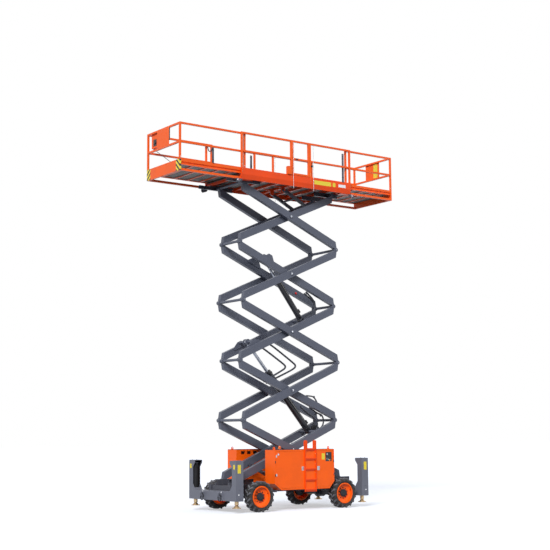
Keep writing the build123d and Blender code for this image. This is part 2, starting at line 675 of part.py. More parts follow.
def cabinet(side):
    """Hollow cabinet with two door openings in its outer side."""
    shell = side_plate(cabinet_outline(0), CABINET_IN, CABINET_OUT)
    shell -= side_plate(cabinet_outline(CABINET_WALL), CABINET_IN + CABINET_WALL, CABINET_OUT - CABINET_WALL)
    for lo, hi in DOOR_BAYS:
        shell -= door_bay(lo, hi, 0)
    for edge, away in ((DOOR_BAYS[1][1] - DOOR_GAP, 1), (DOOR_BAYS[0][0] + DOOR_GAP, -1)):
        for z in DOOR_HINGE_Z:
            lo, hi = z + HINGE_H + FIT_GAP, z + HINGE_H + 35
            shell += round_z(MID_X + edge, CABINET_OUT + HINGE_R, HINGE_R - 1, lo, hi)
            shell += block(MID_X + edge + away * 2, MID_X + edge + away * LEAF_W,
                           CABINET_OUT - 0.5, CABINET_OUT + LEAF_T, lo, hi)
    for x in LIFT_EYES:
        eye = block(x - 35, x + 35, LIFT_EYE_Y - 8, LIFT_EYE_Y + 8, CABINET_TOP - 1, CABINET_TOP + 45)
        eye += round_y(x, CABINET_TOP + 45, 35, LIFT_EYE_Y - 8, LIFT_EYE_Y + 8)
        shell += eye - round_y(x, CABINET_TOP + 45, 18, LIFT_EYE_Y - 9, LIFT_EYE_Y + 9)
    if side < 0:
        for x in VENTS_X:
            shell -= block(x - VENT_W / 2, x + VENT_W / 2,
                           CABINET_IN - 1, CABINET_IN + CABINET_WALL + 1, *VENT_Z)
    return shell if side > 0 else mirror(shell, Plane.XZ)


def door(lo, hi, side):
    """Door panel that fills its opening, with two hinge barrels at its edge away from the ladder."""
    panel = door_bay(lo, hi, DOOR_GAP) & block(-3000, 3000, 0, CABINET_OUT, 0, 3000)
    edge = MID_X + (hi - DOOR_GAP if lo > -100 else lo + DOOR_GAP)
    away = 1 if lo > -100 else -1
    for z in DOOR_HINGE_Z:
        panel += round_z(edge, CABINET_OUT + HINGE_R, HINGE_R, z, z + HINGE_H)
        panel += block(edge, edge - away * LEAF_W, CABINET_OUT - 1, CABINET_OUT + LEAF_T, z, z + HINGE_H)
    # pocket for the latch beside the ladder
    latch = LATCH_X[1] if lo > -100 else LATCH_X[0]
    panel -= block(latch - LATCH_W / 2, latch + LATCH_W / 2, CABINET_OUT - LATCH_DEPTH, CABINET_OUT + 1,
                   LATCH_Z - LATCH_W / 2, LATCH_Z + LATCH_W / 2)
    return panel if side > 0 else mirror(panel, Plane.XZ)


def control_recess(inset):
    """Recess in the rear left door for the ground controls, or the panel that fits in it."""
    x0, x1 = CONTROL_X
    z0, z1 = CONTROL_Z
    return block(x0 + inset, x1 - inset, CABINET_OUT - CONTROL_DEPTH + inset, CABINET_OUT + 1,
                 z0 + inset, z1 - inset)


def build_ladder():
    """Folded steps between two flat stiles, and two hand plates over the cabinet's top."""
    back, front = CABINET_OUT + FIT_GAP, CABINET_OUT + LADDER_D
    ladder = None
    for x in (LADDER_X - LADDER_HALF, LADDER_X + LADDER_HALF - STILE_T):
        stile = block(x, x + STILE_T, back, front, STEP_Z[0] - 50, CABINET_TOP + 70)
        ladder = stile if ladder is None else ladder + stile
    for z in STEP_Z:
        step = [(back, z - 50), (back + 12, z - 50), (front, z), (front, z + 25), (back, z + 25)]
        ladder += bar_along_x(step, LADDER_X - LADDER_HALF, LADDER_X + LADDER_HALF)
    for x in (LADDER_X - LADDER_HALF, LADDER_X + LADDER_HALF - HAND_W):
        top = CABINET_TOP + HAND_RISE
        plate = [(x, CABINET_TOP + FIT_GAP), (x + HAND_W, CABINET_TOP + FIT_GAP), (x + HAND_W, top - 25),
                 (x + HAND_W - 25, top), (x + 25, top), (x, top - 25)]
        ladder += side_plate(plate, CABINET_OUT - 30, front)
    save(ladder, "ladder")


def build_cabinets():
    for side, word in ((1, "left"), (-1, "right")):
        save(cabinet(side), f"cabinet_{word}")
        save(door(*DOOR_BAYS[1], side), f"door_{word}_front")
        rear_door = door(*DOOR_BAYS[0], side)
        save(rear_door - control_recess(0) if side > 0 else rear_door, f"door_{word}_rear")
    panel = control_recess(FIT_GAP) & block(-3000, 3000, 0, CABINET_OUT - CONTROL_SUNK, 0, 3000)
    x, z = (CONTROL_X[0] + CONTROL_X[1]) / 2, (CONTROL_Z[0] + CONTROL_Z[1]) / 2
    panel += block(x - 80, x + 80, CABINET_OUT - CONTROL_SUNK - 1, CABINET_OUT - 2, z + 10, z + 100)
    save(panel, "ground_control")
    floor = CABINET_BOTTOM + CABINET_WALL + FIT_GAP
    engine = block(MID_X - 350, MID_X + 450, -CABINET_IN - 70, -CABINET_OUT + 90, floor, floor + 650)
    save(engine, "engine")
    build_ladder()
    beacon = round_z(*BEACON_XY, 45, CABINET_TOP + FIT_GAP, CABINET_TOP + 20)
    save(beacon + round_z(*BEACON_XY, 38, CABINET_TOP + 20, CABINET_TOP + 110), "beacon")


# ============================================================ platform

def tube_frame(posts, rails, y):
    """Square tube posts and rails in one plane."""
    half = POST / 2
    frame = None
    for x, z0, z1 in posts:
        piece = block(x - half, x + half, y - half, y + half, z0, z1)
        frame = piece if frame is None else frame + piece
    for x0, x1, z in rails:
        frame += block(x0, x1, y - half, y + half, z - half, z + half)
    return frame


def build_main_deck():
    """Side boards, cross members, centring bracket and ledges of the main deck, and its floor."""
    pin = TOP_PIN_Z
    floor = pin + FLOOR_OVER_PIN
    side, out = DECK_SIDE, DECK_SIDE + POST
    board = [(side, pin + 5), (side + 20, pin + 5), (out, pin + FOLD_OVER_PIN), (out, pin + TOE_TOP_OVER_PIN),
             (side, pin + TOE_TOP_OVER_PIN)]
    deck = left_and_right(bar_along_x(board, DECK_REAR, DECK_FRONT))
    pitch = (DECK_FRONT - DECK_REAR - 2 * MEMBER_W) / (MEMBER_COUNT - 1)
    for number in range(MEMBER_COUNT):
        x = DECK_REAR + MEMBER_W + number * pitch
        deck += block(x - MEMBER_W / 2, x + MEMBER_W / 2, -side, side, floor - MEMBER_H, floor)
    bracket_y = LINK_LANE - LINK_WIDTH / 2 - 8
    bracket = block(MID_X - 60, MID_X + 60, bracket_y - 30, bracket_y, pin, floor - MEMBER_H / 2)
    bracket += block(MID_X - 300, MID_X + 300, bracket_y - 30, bracket_y,
                     floor - MEMBER_H, floor - MEMBER_H / 2)
    bracket += round_y(MID_X, pin, 60, bracket_y - 30, bracket_y)
    bracket += round_y(MID_X, pin, PIN_R, bracket_y, LINK_LANE + LINK_WIDTH / 2 + 4)
    deck += left_and_right(bracket)
    # ledges that the roll-out decks' tongues slide on
    for end, edge, lane in ((1, DECK_FRONT, FRONT_LANE), (-1, DECK_REAR, REAR_LANE)):
        x0, x1, top = edge - end * 350, edge - end * 60, pin + 5 - FIT_GAP
        ledge = block(x0, x1, lane[0], side + 10, top - LEDGE_T, top)
        deck += left_and_right(ledge + block(x0, x1, side + 1, side + 10, top - LEDGE_T, pin + 20))
    save(deck, "deck_main")
    plate = block(DECK_REAR, DECK_FRONT, -side + FIT_GAP, side - FIT_GAP, floor + FIT_GAP, floor + FLOOR_T)
    save(plate, "floor_main")


def build_deck_channels():
    """Channels under the deck for the top arms' rollers, and a roller bracket at each lower corner."""
    pin = TOP_PIN_Z
    under = pin + FLOOR_OVER_PIN - MEMBER_H - FIT_GAP
    over = pin + ROLLER_R + MOVE_GAP + CHANNEL_T
    front = channel(MID_X + PIN_REACH_MIN, MID_X + PIN_REACH_MAX + TOP_CHANNEL_SPARE[0], *OUTER_CHANNEL, pin)
    front += block(MID_X + PIN_REACH_MIN, DECK_FRONT, *OUTER_CHANNEL, over, under)
    rear_x = MID_X - PIN_REACH_MAX - TOP_CHANNEL_SPARE[1]
    rear = channel(rear_x, MID_X - PIN_REACH_MIN, *INNER_CHANNEL, pin)
    rear += block(rear_x, MID_X - PIN_REACH_MIN, *INNER_CHANNEL, over, under)
    rails = left_and_right(front + rear)
    top = pin + 5 - FIT_GAP
    for end, edge in ((1, DECK_FRONT), (-1, DECK_REAR)):
        # distance past the deck's end, depth under its side board
        outline = [(-55, 0), (150, 0), (150, 70), (110, 110), (-20, 70), (-55, 30)]
        corner = side_plate([(edge + end * past, top - depth) for past, depth in outline],
                            DECK_SIDE, DECK_SIDE + BRACKET_T)
        corner += round_y(edge + end * 85, top - CARRY_R, CARRY_R, EXT_BEAM_IN, EXT_BEAM_OUT)
        corner += round_y(edge + end * 85, top - CARRY_R, 16, EXT_BEAM_OUT, DECK_SIDE + BRACKET_T + 12)
        rails += left_and_right(corner)
    save(rails, "deck_channels")


def build_main_rails():
    """Guardrail of the main deck, with the gate in its left side."""
    pin = TOP_PIN_Z
    base = pin + TOE_TOP_OVER_PIN + FIT_GAP
    top = pin + TOP_RAIL_OVER_PIN
    mid = pin + MID_RAIL_OVER_PIN
    half = POST / 2
    posts = [(x, base, top + half) for x in (DECK_FRONT - half, GATE_FRONT, GATE_REAR, DECK_REAR + half)]
    rails = [(x0, x1, z) for z in (top, mid) for x0, x1 in ((DECK_REAR, GATE_REAR), (GATE_FRONT, DECK_FRONT))]
    left = tube_frame(posts, rails, MAIN_POST_Y)
    rails_right = [(DECK_REAR, DECK_FRONT, top), (DECK_REAR, DECK_FRONT, mid)]
    save(tube_frame(posts, rails_right, -MAIN_POST_Y), "rail_main_right")
    g0, g1 = GATE_REAR + half + MOVE_GAP, GATE_FRONT - half - MOVE_GAP
    gate = tube_frame([(g0 + half, base + 10, top + half), (g1 - half, base + 10, top + half)],
                      [(g0, g1, top), (g0, g1, mid), (g0, g1, base + 40)], MAIN_POST_Y)
    # two lift-off hinges on the inner side of the gate's rear post
    hinge_x = GATE_REAR + half + MOVE_GAP / 2
    leaf_y = MAIN_POST_Y - half
    for z in (base + 160, mid + 200):
        gate += round_z(hinge_x, GATE_HINGE_Y, GATE_BARREL_R, z, z + 60)
        gate += block(hinge_x, g0 + 30, GATE_HINGE_Y, leaf_y, z, z + 60)
        gate -= round_z(hinge_x, GATE_HINGE_Y, GATE_PIN_R + FIT_GAP, z - 1, z + 61)
        left += round_z(hinge_x, GATE_HINGE_Y, GATE_PIN_R, z - 20, z + 66)
        left += block(GATE_REAR - 15, hinge_x, GATE_HINGE_Y - 8, leaf_y, z - 20, z - 1)
    # document box beside the gate
    left += block(GATE_FRONT + half - 1, GATE_FRONT + 160, MAIN_POST_Y - half, MAIN_POST_Y + half + 40,
                  base + 5, base + 230)
    save(left, "rail_main_left")
    save(gate, "gate")


def build_roll_out_deck(word, end, main_end, inner_rail, tongue_in, lane):
    """Grooved side boards, lower beams with tongues, ribs, end board, floor and guardrail."""
    pin = TOP_PIN_Z
    half = POST / 2
    x_out = end * DECK_END_X
    x_in = inner_rail - end * half
    lip, groove = EXT_BEAM_OUT, EXT_BEAM_OUT - 28
    low, high = pin + RIB_OVER_PIN, pin + TOE_TOP_OVER_PIN - 5
    board = [(EXT_BEAM_IN, low), (lip, low), (lip, low + 18), (groove, low + 30), (groove, high - 78),
             (lip, high - 66), (lip, high), (EXT_BEAM_IN, high)]
    reach = main_end + end * 200
    beam = block(x_out, x_in, EXT_BEAM_IN, EXT_BEAM_OUT, pin + 5, pin + 65)
    tongue = block(tongue_in, reach, *lane, pin + 5, pin + 60)
    tie = block(main_end + end * 100, reach, lane[0], EXT_BEAM_IN, pin + 5, pin + 60)
    deck = left_and_right(bar_along_x(board, x_out, x_in) + beam + tongue + tie)
    rib_first = x_in + end * MEMBER_W / 2
    rib_pitch = (x_out - end * POST - rib_first) / RIB_COUNT
    for number in range(RIB_COUNT):
        x = rib_first + number * rib_pitch
        deck += block(x - MEMBER_W / 2, x + MEMBER_W / 2, -EXT_BEAM_IN, EXT_BEAM_IN, low, low + RIB_H)
    deck += block(x_out, x_out - end * POST, -EXT_BEAM_OUT, EXT_BEAM_OUT, pin + 5, pin + TOE_TOP_OVER_PIN)
    save(deck, f"deck_{word}")
    edge = EXT_BEAM_IN - FIT_GAP
    plate = block(x_in, x_out - end * (POST + FIT_GAP), -edge, edge,
                  low + RIB_H + FIT_GAP, low + RIB_H + EXT_FLOOR_T)
    save(plate, f"floor_{word}")
    # guardrail with a plate in the middle of its end
    top, mid = pin + TOP_RAIL_OVER_PIN, pin + MID_RAIL_OVER_PIN
    corner = x_out - end * half
    posts = [(x, pin + TOE_TOP_OVER_PIN + FIT_GAP, top + half) for x in (corner, inner_rail)]
    rails = left_and_right(tube_frame(posts, [(inner_rail, corner, z) for z in (top, mid)], EXT_POST_Y))
    for z in (top, mid):
        rails += block(corner - half, corner + half, -EXT_POST_Y, EXT_POST_Y, z - half, z + half)
    face = corner + end * half
    rails += block(face, face - end * 6, -END_PLATE_Y, END_PLATE_Y, mid - 20, top + 10)
    save(rails, f"rail_{word}")


def build_platform_control():
    """Control box with a sloped face, hung inside the front guardrail."""
    top = TOP_PIN_Z + TOP_RAIL_OVER_PIN
    back = DECK_END_X - POST - FIT_GAP
    outline = [(back - 130, top - 420), (back, top - 420), (back, top + 20), (back - 45, top + 20),
               (back - 130, top - 90)]
    save(side_plate(outline, *PANEL_BOX_Y), "platform_control")


build_arms()
build_links()
build_cylinders()
build_chassis()
build_slide_channels()
build_axles()
build_knuckle(1, "knuckle_left")
build_knuckle(-1, "knuckle_right")
build_wheels()
build_outriggers()
build_cabinets()
build_main_deck()
build_deck_channels()
build_main_rails()
build_roll_out_deck("front", 1, DECK_FRONT, 1640, EXT_FRONT_IN, FRONT_LANE)
build_roll_out_deck("rear", -1, DECK_REAR, -1970, EXT_REAR_IN, REAR_LANE)
build_platform_control()
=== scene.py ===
import json
from math import cos, pi, radians, sin, tan

import bmesh
import bpy
from mathutils import Matrix, Vector


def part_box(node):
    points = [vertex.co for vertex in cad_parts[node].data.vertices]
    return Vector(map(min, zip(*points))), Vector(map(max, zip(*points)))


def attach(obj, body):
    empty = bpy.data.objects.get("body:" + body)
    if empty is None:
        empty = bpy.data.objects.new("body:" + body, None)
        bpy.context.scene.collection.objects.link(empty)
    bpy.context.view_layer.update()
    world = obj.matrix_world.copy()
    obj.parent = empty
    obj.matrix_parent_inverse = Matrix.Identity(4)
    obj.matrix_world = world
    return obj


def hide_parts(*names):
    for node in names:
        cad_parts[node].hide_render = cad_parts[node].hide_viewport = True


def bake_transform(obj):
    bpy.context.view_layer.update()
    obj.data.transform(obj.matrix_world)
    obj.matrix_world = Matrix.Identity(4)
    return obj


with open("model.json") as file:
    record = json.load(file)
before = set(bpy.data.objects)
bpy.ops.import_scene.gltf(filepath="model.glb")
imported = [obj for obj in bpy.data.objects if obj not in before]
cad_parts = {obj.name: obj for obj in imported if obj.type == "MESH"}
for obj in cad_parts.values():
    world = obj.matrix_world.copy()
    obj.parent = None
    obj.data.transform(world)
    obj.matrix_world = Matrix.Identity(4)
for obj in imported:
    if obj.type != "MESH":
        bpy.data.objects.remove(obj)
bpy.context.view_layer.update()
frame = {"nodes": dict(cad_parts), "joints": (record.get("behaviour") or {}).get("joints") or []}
nodes = frame["nodes"]
joints = {joint["name"]: joint for joint in frame["joints"]}

# ---- View and light
# Plain pale studio: a low camera a good way off, one broad soft key from the front left above it, a
# weak light along the rear edges and an even pale surround that fills the shaded sides.  The floor is
# matt and keeps the shadow.

scene = bpy.context.scene
scene.view_settings.view_transform = "Standard"

camera = bpy.data.objects.new("camera", bpy.data.cameras.new("camera"))
scene.collection.objects.link(camera)
camera.data.lens = 77.38
camera.data.sensor_width = 36
camera.data.clip_end = 500
heading, pitch, roll = radians(143.74), radians(7.605), radians(-0.445)
turn = (Matrix.Rotation(heading, 4, "Z") @ Matrix.Rotation(pi / 2 + pitch, 4, "X")
        @ Matrix.Rotation(roll, 4, "Z"))
camera.matrix_world = Matrix.Translation((19.855, 27.05, 2.09)) @ turn
scene.camera = camera


def paint(text):
    """Linear colour of an sRGB hex value."""
    channels = [int(text[i:i + 2], 16) / 255 for i in (1, 3, 5)]
    return [c / 12.92 if c <= 0.04045 else ((c + 0.055) / 1.055) ** 2.4 for c in channels] + [1.0]


def add(tree, kind, settings=None, values=None, links=None):
    """One node with its settings, the values of its sockets and what they are linked from."""
    made = tree.nodes.new(kind)
    for name, value in (settings or {}).items():
        setattr(made, name, value)
    for name, value in (values or {}).items():
        made.inputs[name].default_value = value
    for name, source in (links or {}).items():
        tree.links.new(source, made.inputs[name])
    return made


def seen_directly(tree):
    """1 for what the camera sees, straight, mirrored or through glass, and 0 for the light on the object."""
    path = add(tree, "ShaderNodeLightPath")
    mirrored = add(tree, "ShaderNodeMath", {"operation": "MAXIMUM"},
                   links={0: path.outputs["Is Camera Ray"], 1: path.outputs["Is Glossy Ray"]})
    return add(tree, "ShaderNodeMath", {"operation": "MAXIMUM"},
               links={0: mirrored.outputs[0], 1: path.outputs["Is Transmission Ray"]})


world = bpy.data.worlds.new("surround")
scene.world = world
world.use_nodes = True
sky = world.node_tree
sky.nodes.clear()
# strength of the even light that reaches the machine from all round
surround_strength = 0.46
fill = add(sky, "ShaderNodeBackground", values={"Color": paint("#eef2fb"), "Strength": surround_strength})
white = add(sky, "ShaderNodeBackground", values={"Color": (1, 1, 1, 1), "Strength": 1.0})
mixed = add(sky, "ShaderNodeMixShader",
            links={0: seen_directly(sky).outputs[0], 1: fill.outputs[0], 2: white.outputs[0]})
add(sky, "ShaderNodeOutputWorld", links={"Surface": mixed.outputs[0]})

# direction towards each lamp, strength and softness in degrees
for name, direction, strength, softness in (("key", (0.86, 0.72, 0.70), 3.05, 20),
                                            ("edge", (-0.75, 0.25, 0.55), 0.45, 60)):
    lamp = bpy.data.objects.new(name, bpy.data.lights.new(name, "SUN"))
    lamp.data.energy = strength
    lamp.data.angle = radians(softness)
    lamp.rotation_euler = Vector(direction).to_track_quat("Z", "Y").to_euler()
    scene.collection.objects.link(lamp)

floor_mesh = bpy.data.meshes.new("floor")
reach = 150
floor_mesh.from_pydata([(-reach, -reach, 0), (reach, -reach, 0), (reach, reach, 0), (-reach, reach, 0)], [],
                       [(0, 1, 2, 3)])
floor = bpy.data.objects.new("floor", floor_mesh)
scene.collection.objects.link(floor)
pale_floor = bpy.data.materials.new("pale_matt_floor")
pale_floor.use_nodes = True
floor_tree = pale_floor.node_tree
floor_shader = floor_tree.nodes["Principled BSDF"]
floor_shader.inputs["Roughness"].default_value = 1.0
floor_shader.inputs["Specular IOR Level"].default_value = 0.0
floor_shader.inputs["Emission Color"].default_value = (1, 1, 1, 1)
seen = seen_directly(floor_tree).outputs[0]
# pale where it is looked at, darker for the light it throws up under the machine
floor_tone = add(floor_tree, "ShaderNodeMix", {"data_type": "RGBA"},
                 {"A": paint("#83868e"), "B": paint("#ccd1db")}, {"Factor": seen})
floor_tree.links.new(floor_tone.outputs["Result"], floor_shader.inputs["Base Color"])
lift_to_white = add(floor_tree, "ShaderNodeMath", {"operation": "MULTIPLY"}, {1: surround_strength},
                    {0: seen})
floor_tree.links.new(lift_to_white.outputs[0], floor_shader.inputs["Emission Strength"])
floor_mesh.materials.append(pale_floor)

# ---- Chassis and axles
# Two box beams with their cross members, roller channels on top and both axles bolted underneath.
# Steel, welded, blasted and sprayed with dark grey two-pack enamel.  The bolts are yellow zinc, and
# the steering ram's rods are hard chrome.


def blank(name):
    """New material, its tree, its shader and the place on the object that its patterns follow."""
    material = bpy.data.materials.new(name)
    material.use_nodes = True
    tree = material.node_tree
    return material, tree, tree.nodes["Principled BSDF"], add(tree, "ShaderNodeTexCoord").outputs["Object"]


def enamel(name, colour, roughness, dust="#8d8a86", dusty=0.10, coat=0.12):
    """Two-pack enamel on steel: even tone with faint patches, fine orange peel and a film of dust."""
    material, tree, shader, place = blank(name)
    # patches about 400 mm across
    patches = add(tree, "ShaderNodeTexNoise", values={"Scale": 2.5, "Detail": 6.0, "Roughness": 0.6},
                  links={"Vector": place}).outputs[0]
    tone = add(tree, "ShaderNodeMapRange", values={"From Min": 0.3, "From Max": 0.7, "To Min": 0.93,
                                                   "To Max": 1.06}, links={"Value": patches})
    shade = add(tree, "ShaderNodeHueSaturation", values={"Color": paint(colour)},
                links={"Value": tone.outputs[0]})
    # dust and dried splashes, 30 mm across, thickest near the ground
    specks = add(tree, "ShaderNodeTexNoise", values={"Scale": 30.0, "Detail": 8.0, "Roughness": 0.7},
                 links={"Vector": place}).outputs[0]
    height = add(tree, "ShaderNodeSeparateXYZ", links={"Vector": place}).outputs["Z"]
    low = add(tree, "ShaderNodeMapRange", values={"From Min": 0.2, "From Max": 1.3, "To Min": 1.6,
                                                  "To Max": 0.5}, links={"Value": height})
    film = add(tree, "ShaderNodeMapRange", values={"From Min": 0.5, "From Max": 0.72, "To Min": 0.0,
                                                   "To Max": dusty}, links={"Value": specks})
    cover = add(tree, "ShaderNodeMath", {"operation": "MULTIPLY"},
                links={0: film.outputs[0], 1: low.outputs[0]})
    mix = add(tree, "ShaderNodeMix", {"data_type": "RGBA"}, {"B": paint(dust)},
              {"Factor": cover.outputs[0], "A": shade.outputs[0]})
    tree.links.new(mix.outputs["Result"], shader.inputs["Base Color"])
    dull = add(tree, "ShaderNodeMapRange", values={"To Min": roughness - 0.08, "To Max": roughness + 0.12},
               links={"Value": patches})
    tree.links.new(dull.outputs[0], shader.inputs["Roughness"])
    # orange peel drawn at 8 mm, coarser than the real 2 mm so that it shows, over the sheet's own
    # slight waves of 250 mm
    peel = add(tree, "ShaderNodeTexNoise", values={"Scale": 120.0, "Detail": 2.0}, links={"Vector": place})
    fine = add(tree, "ShaderNodeBump", values={"Strength": 0.06, "Distance": 0.002},
               links={"Height": peel.outputs[0]})
    waves = add(tree, "ShaderNodeTexNoise", values={"Scale": 4.0, "Detail": 1.0}, links={"Vector": place})
    bump = add(tree, "ShaderNodeBump", values={"Strength": 0.10, "Distance": 0.02},
               links={"Height": waves.outputs[0], "Normal": fine.outputs[0]})
    tree.links.new(bump.outputs[0], shader.inputs["Normal"])
    shader.inputs["Specular IOR Level"].default_value = 0.30
    shader.inputs["Coat Weight"].default_value = coat
    shader.inputs["Coat Roughness"].default_value = 0.22
    return material


def finish(material, *names):
    """Gives CAD nodes their finish."""
    for name in names:
        nodes[name].data.materials.clear()
        nodes[name].data.materials.append(material)


dark_enamel = enamel("dark_grey_enamel", "#44454e", 0.46, dusty=0.20)
finish(dark_enamel, "chassis_frame", "slide_channels", "front_axle", "rear_axle", "knuckle_left",
       "knuckle_right")


def metal(name, colour, roughness, second=None, stretch=(1, 1, 1), grain=220.0):
    """Bare or plated metal: two tones in patches, and a grain that follows how it was worked."""
    material, tree, shader, place = blank(name)
    clouds = add(tree, "ShaderNodeTexNoise", values={"Scale": 14.0, "Detail": 5.0},
                 links={"Vector": place}).outputs[0]
    share = add(tree, "ShaderNodeMapRange", values={"From Min": 0.38, "From Max": 0.62},
                links={"Value": clouds})
    mix = add(tree, "ShaderNodeMix", {"data_type": "RGBA"},
              {"A": paint(colour), "B": paint(second or colour)}, {"Factor": share.outputs[0]})
    tree.links.new(mix.outputs["Result"], shader.inputs["Base Color"])
    shader.inputs["Metallic"].default_value = 1.0
    dull = add(tree, "ShaderNodeMapRange", values={"To Min": max(0.03, roughness - 0.06),
                                                   "To Max": roughness + 0.10}, links={"Value": clouds})
    tree.links.new(dull.outputs[0], shader.inputs["Roughness"])
    drawn = add(tree, "ShaderNodeMapping", values={"Scale": stretch}, links={"Vector": place})
    lines = add(tree, "ShaderNodeTexNoise", values={"Scale": grain, "Detail": 3.0},
                links={"Vector": drawn.outputs[0]})
    bump = add(tree, "ShaderNodeBump", values={"Strength": 0.12, "Distance": 0.001},
               links={"Height": lines.outputs[0]})
    tree.links.new(bump.outputs[0], shader.inputs["Normal"])
    return material


# electroplated zinc, passivated yellow: brassy, with a faint rainbow in patches
yellow_zinc = metal("yellow_zinc_plate", "#c9b48c", 0.38, "#b09070")
# ground and hard-chromed bar: a near mirror, with a film of oil
hard_chrome = metal("hard_chrome", "#aeb1b8", 0.16, "#8f939b", (1, 1, 0.05))


def block(bm, place, size):
    """Rectangular block about a place, sized along the place's own axes."""
    bmesh.ops.create_cube(bm, size=1, matrix=place @ Matrix.Diagonal((*size, 1)))


def slab(bm, low, high):
    """Plate or block between two corners."""
    size = [b - a for a, b in zip(low, high)]
    middle = [(a + b) / 2 for a, b in zip(low, high)]
    block(bm, Matrix.Translation(middle), size)


def pointing(point, direction):
    """Place at a point with its own Z along a direction."""
    return Matrix.Translation(point) @ Vector(direction).to_track_quat("Z", "Y").to_matrix().to_4x4()


def turned(bm, profile, place, steps=32):
    """Shape of revolution: points of radius and height, turned about the place's own Z."""
    rings = []
    for radius, height in profile:
        count = steps if radius > 0 else 1
        points = [(radius * cos(2 * pi * k / count), radius * sin(2 * pi * k / count), height)
                  for k in range(count)]
        rings.append([bm.verts.new(place @ Vector(point)) for point in points])
    if profile[0] == profile[-1]:
        for spare in rings.pop():
            bm.verts.remove(spare)
        rings.append(rings[0])
    for one, two in zip(rings, rings[1:]):
        for k in range(steps):
            following = k + 1
            corners = []
            for corner in (one[k % len(one)], one[following % len(one)],
                           two[following % len(two)], two[k % len(two)]):
                if corner not in corners:
                    corners.append(corner)
            if len(corners) > 2:
                bm.faces.new(corners)


def disc(radius, start, end):
    """Outline of a solid disc or bar between two heights, to be turned."""
    return [(0, start), (radius, start), (radius, end), (0, end)]


def band(inner, outer, start, end):
    """Outline of a ring between two radii and two heights, to be turned."""
    return [(inner, start), (outer, start), (outer, end), (inner, end), (inner, start)]


def hex_bolt(bm, place, across):
    """Washer and hexagon head on a face; across is the size over the flats."""
    turned(bm, disc(across * 0.64, 0, across * 0.1), place, 20)
    turned(bm, [(0, across * 0.1), (across * 0.577, across * 0.1), (across * 0.577, across * 0.6),
                (across * 0.5, across * 0.7), (0, across * 0.7)], place, 6)


def piece(name, bm, body, material, edge=0.0):
    """Mesh made of bm, riding on a body, with its edges rounded or its curved faces smoothed."""
    bmesh.ops.recalc_face_normals(bm, faces=bm.faces)
    mesh = bpy.data.meshes.new(name)
    bm.to_mesh(mesh)
    bm.free()
    made = bpy.data.objects.new(name, mesh)
    scene.collection.objects.link(made)
    mesh.materials.append(material)
    if edge:
        rounding = made.modifiers.new("edges", "BEVEL")
        rounding.width = edge
        rounding.segments = 2
        rounding.limit_method = "ANGLE"
        rounding.angle_limit = radians(40)
    else:
        mesh.shade_smooth()
        mesh.set_sharp_from_angle(angle=radians(35))
    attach(made, body)
    return made


front_axle_x = joints["wheel_front_left_spin"]["pos_m"][0]
rear_axle_x = joints["wheel_rear_left_spin"]["pos_m"][0]
hub_z = joints["wheel_front_left_spin"]["pos_m"][2]
# middle of the scissor along the machine
middle_x = -0.1

# four bolts up through each axle clamp, and pairs of bolts at the ends of the front cross beam
clamp_y, clamp_under_hub = 0.47, 0.07
nose_face_x = 1.61
bolts = bmesh.new()
for x in (front_axle_x, rear_axle_x):
    for y in (-clamp_y, clamp_y):
        for dx in (-0.048, 0.048):
            for dy in (-0.028, 0.028):
                hex_bolt(bolts, pointing((x + dx, y + dy, hub_z - clamp_under_hub), (0, 0, -1)), 0.027)
for y in (-0.575, -0.52, 0.52, 0.575):
    for z in (0.59, 0.65):
        hex_bolt(bolts, pointing((nose_face_x, y, z), (1, 0, 0)), 0.024)
piece("chassis_bolts", bolts, "chassis", yellow_zinc)

# steering ram in front of the axle: its tube in two saddles, its rods in lugs of the kingpin yokes
ram_x, ram_z = 1.492, 0.455
ram_half, rod_half = 0.30, 0.765
ram = bmesh.new()
turned(ram, [(0, 0), (0.040, 0), (0.040, 0.045), (0.034, 0.05), (0.034, 0.55), (0.040, 0.555),
             (0.040, 2 * ram_half), (0, 2 * ram_half)], pointing((ram_x, -ram_half, ram_z), (0, 1, 0)))
for y in (-0.20, 0.20):
    slab(ram, (1.395, y - 0.02, 0.43), (ram_x, y + 0.02, 0.48))
    turned(ram, band(0.030, 0.047, -0.022, 0.022), pointing((ram_x, y, ram_z), (0, 1, 0)))
for side in (-1, 1):
    slab(ram, (1.375, side * 0.762, 0.44), (ram_x + 0.02, side * 0.778, 0.475))
piece("steering_ram", ram, "chassis", dark_enamel, 0.002)
rods = bmesh.new()
turned(rods, [(0, -rod_half), (0.014, -rod_half), (0.014, -0.74), (0.019, -0.735), (0.019, 0.735),
              (0.014, 0.74), (0.014, rod_half), (0, rod_half)], pointing((ram_x, 0, ram_z), (0, 1, 0)))
piece("steering_rods", rods, "chassis", hard_chrome)

# ---- Wheels
# Deep dished steel wheels in the same orange enamel as the cabinets, each bolted by ten nuts to a
# planetary hub whose cast cover is painted black.

orange_enamel = enamel("orange_two_pack_enamel", "#ff6200", 0.40, dust="#b9683a", dusty=0.05)
black_enamel = enamel("gloss_black_enamel", "#1b1c22", 0.34, dust="#5c5a58", dusty=0.14, coat=0.3)
hub_black = enamel("black_casting_paint", "#202127", 0.55, dust="#5c5a58", dusty=0.3, coat=0.0)


def centre_of(node):
    """Middle of a node's box."""
    low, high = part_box(node)
    return (low + high) / 2


# name of the corner and the side it is on
corners = (("front_left", 1), ("front_right", -1), ("rear_left", 1), ("rear_right", -1))
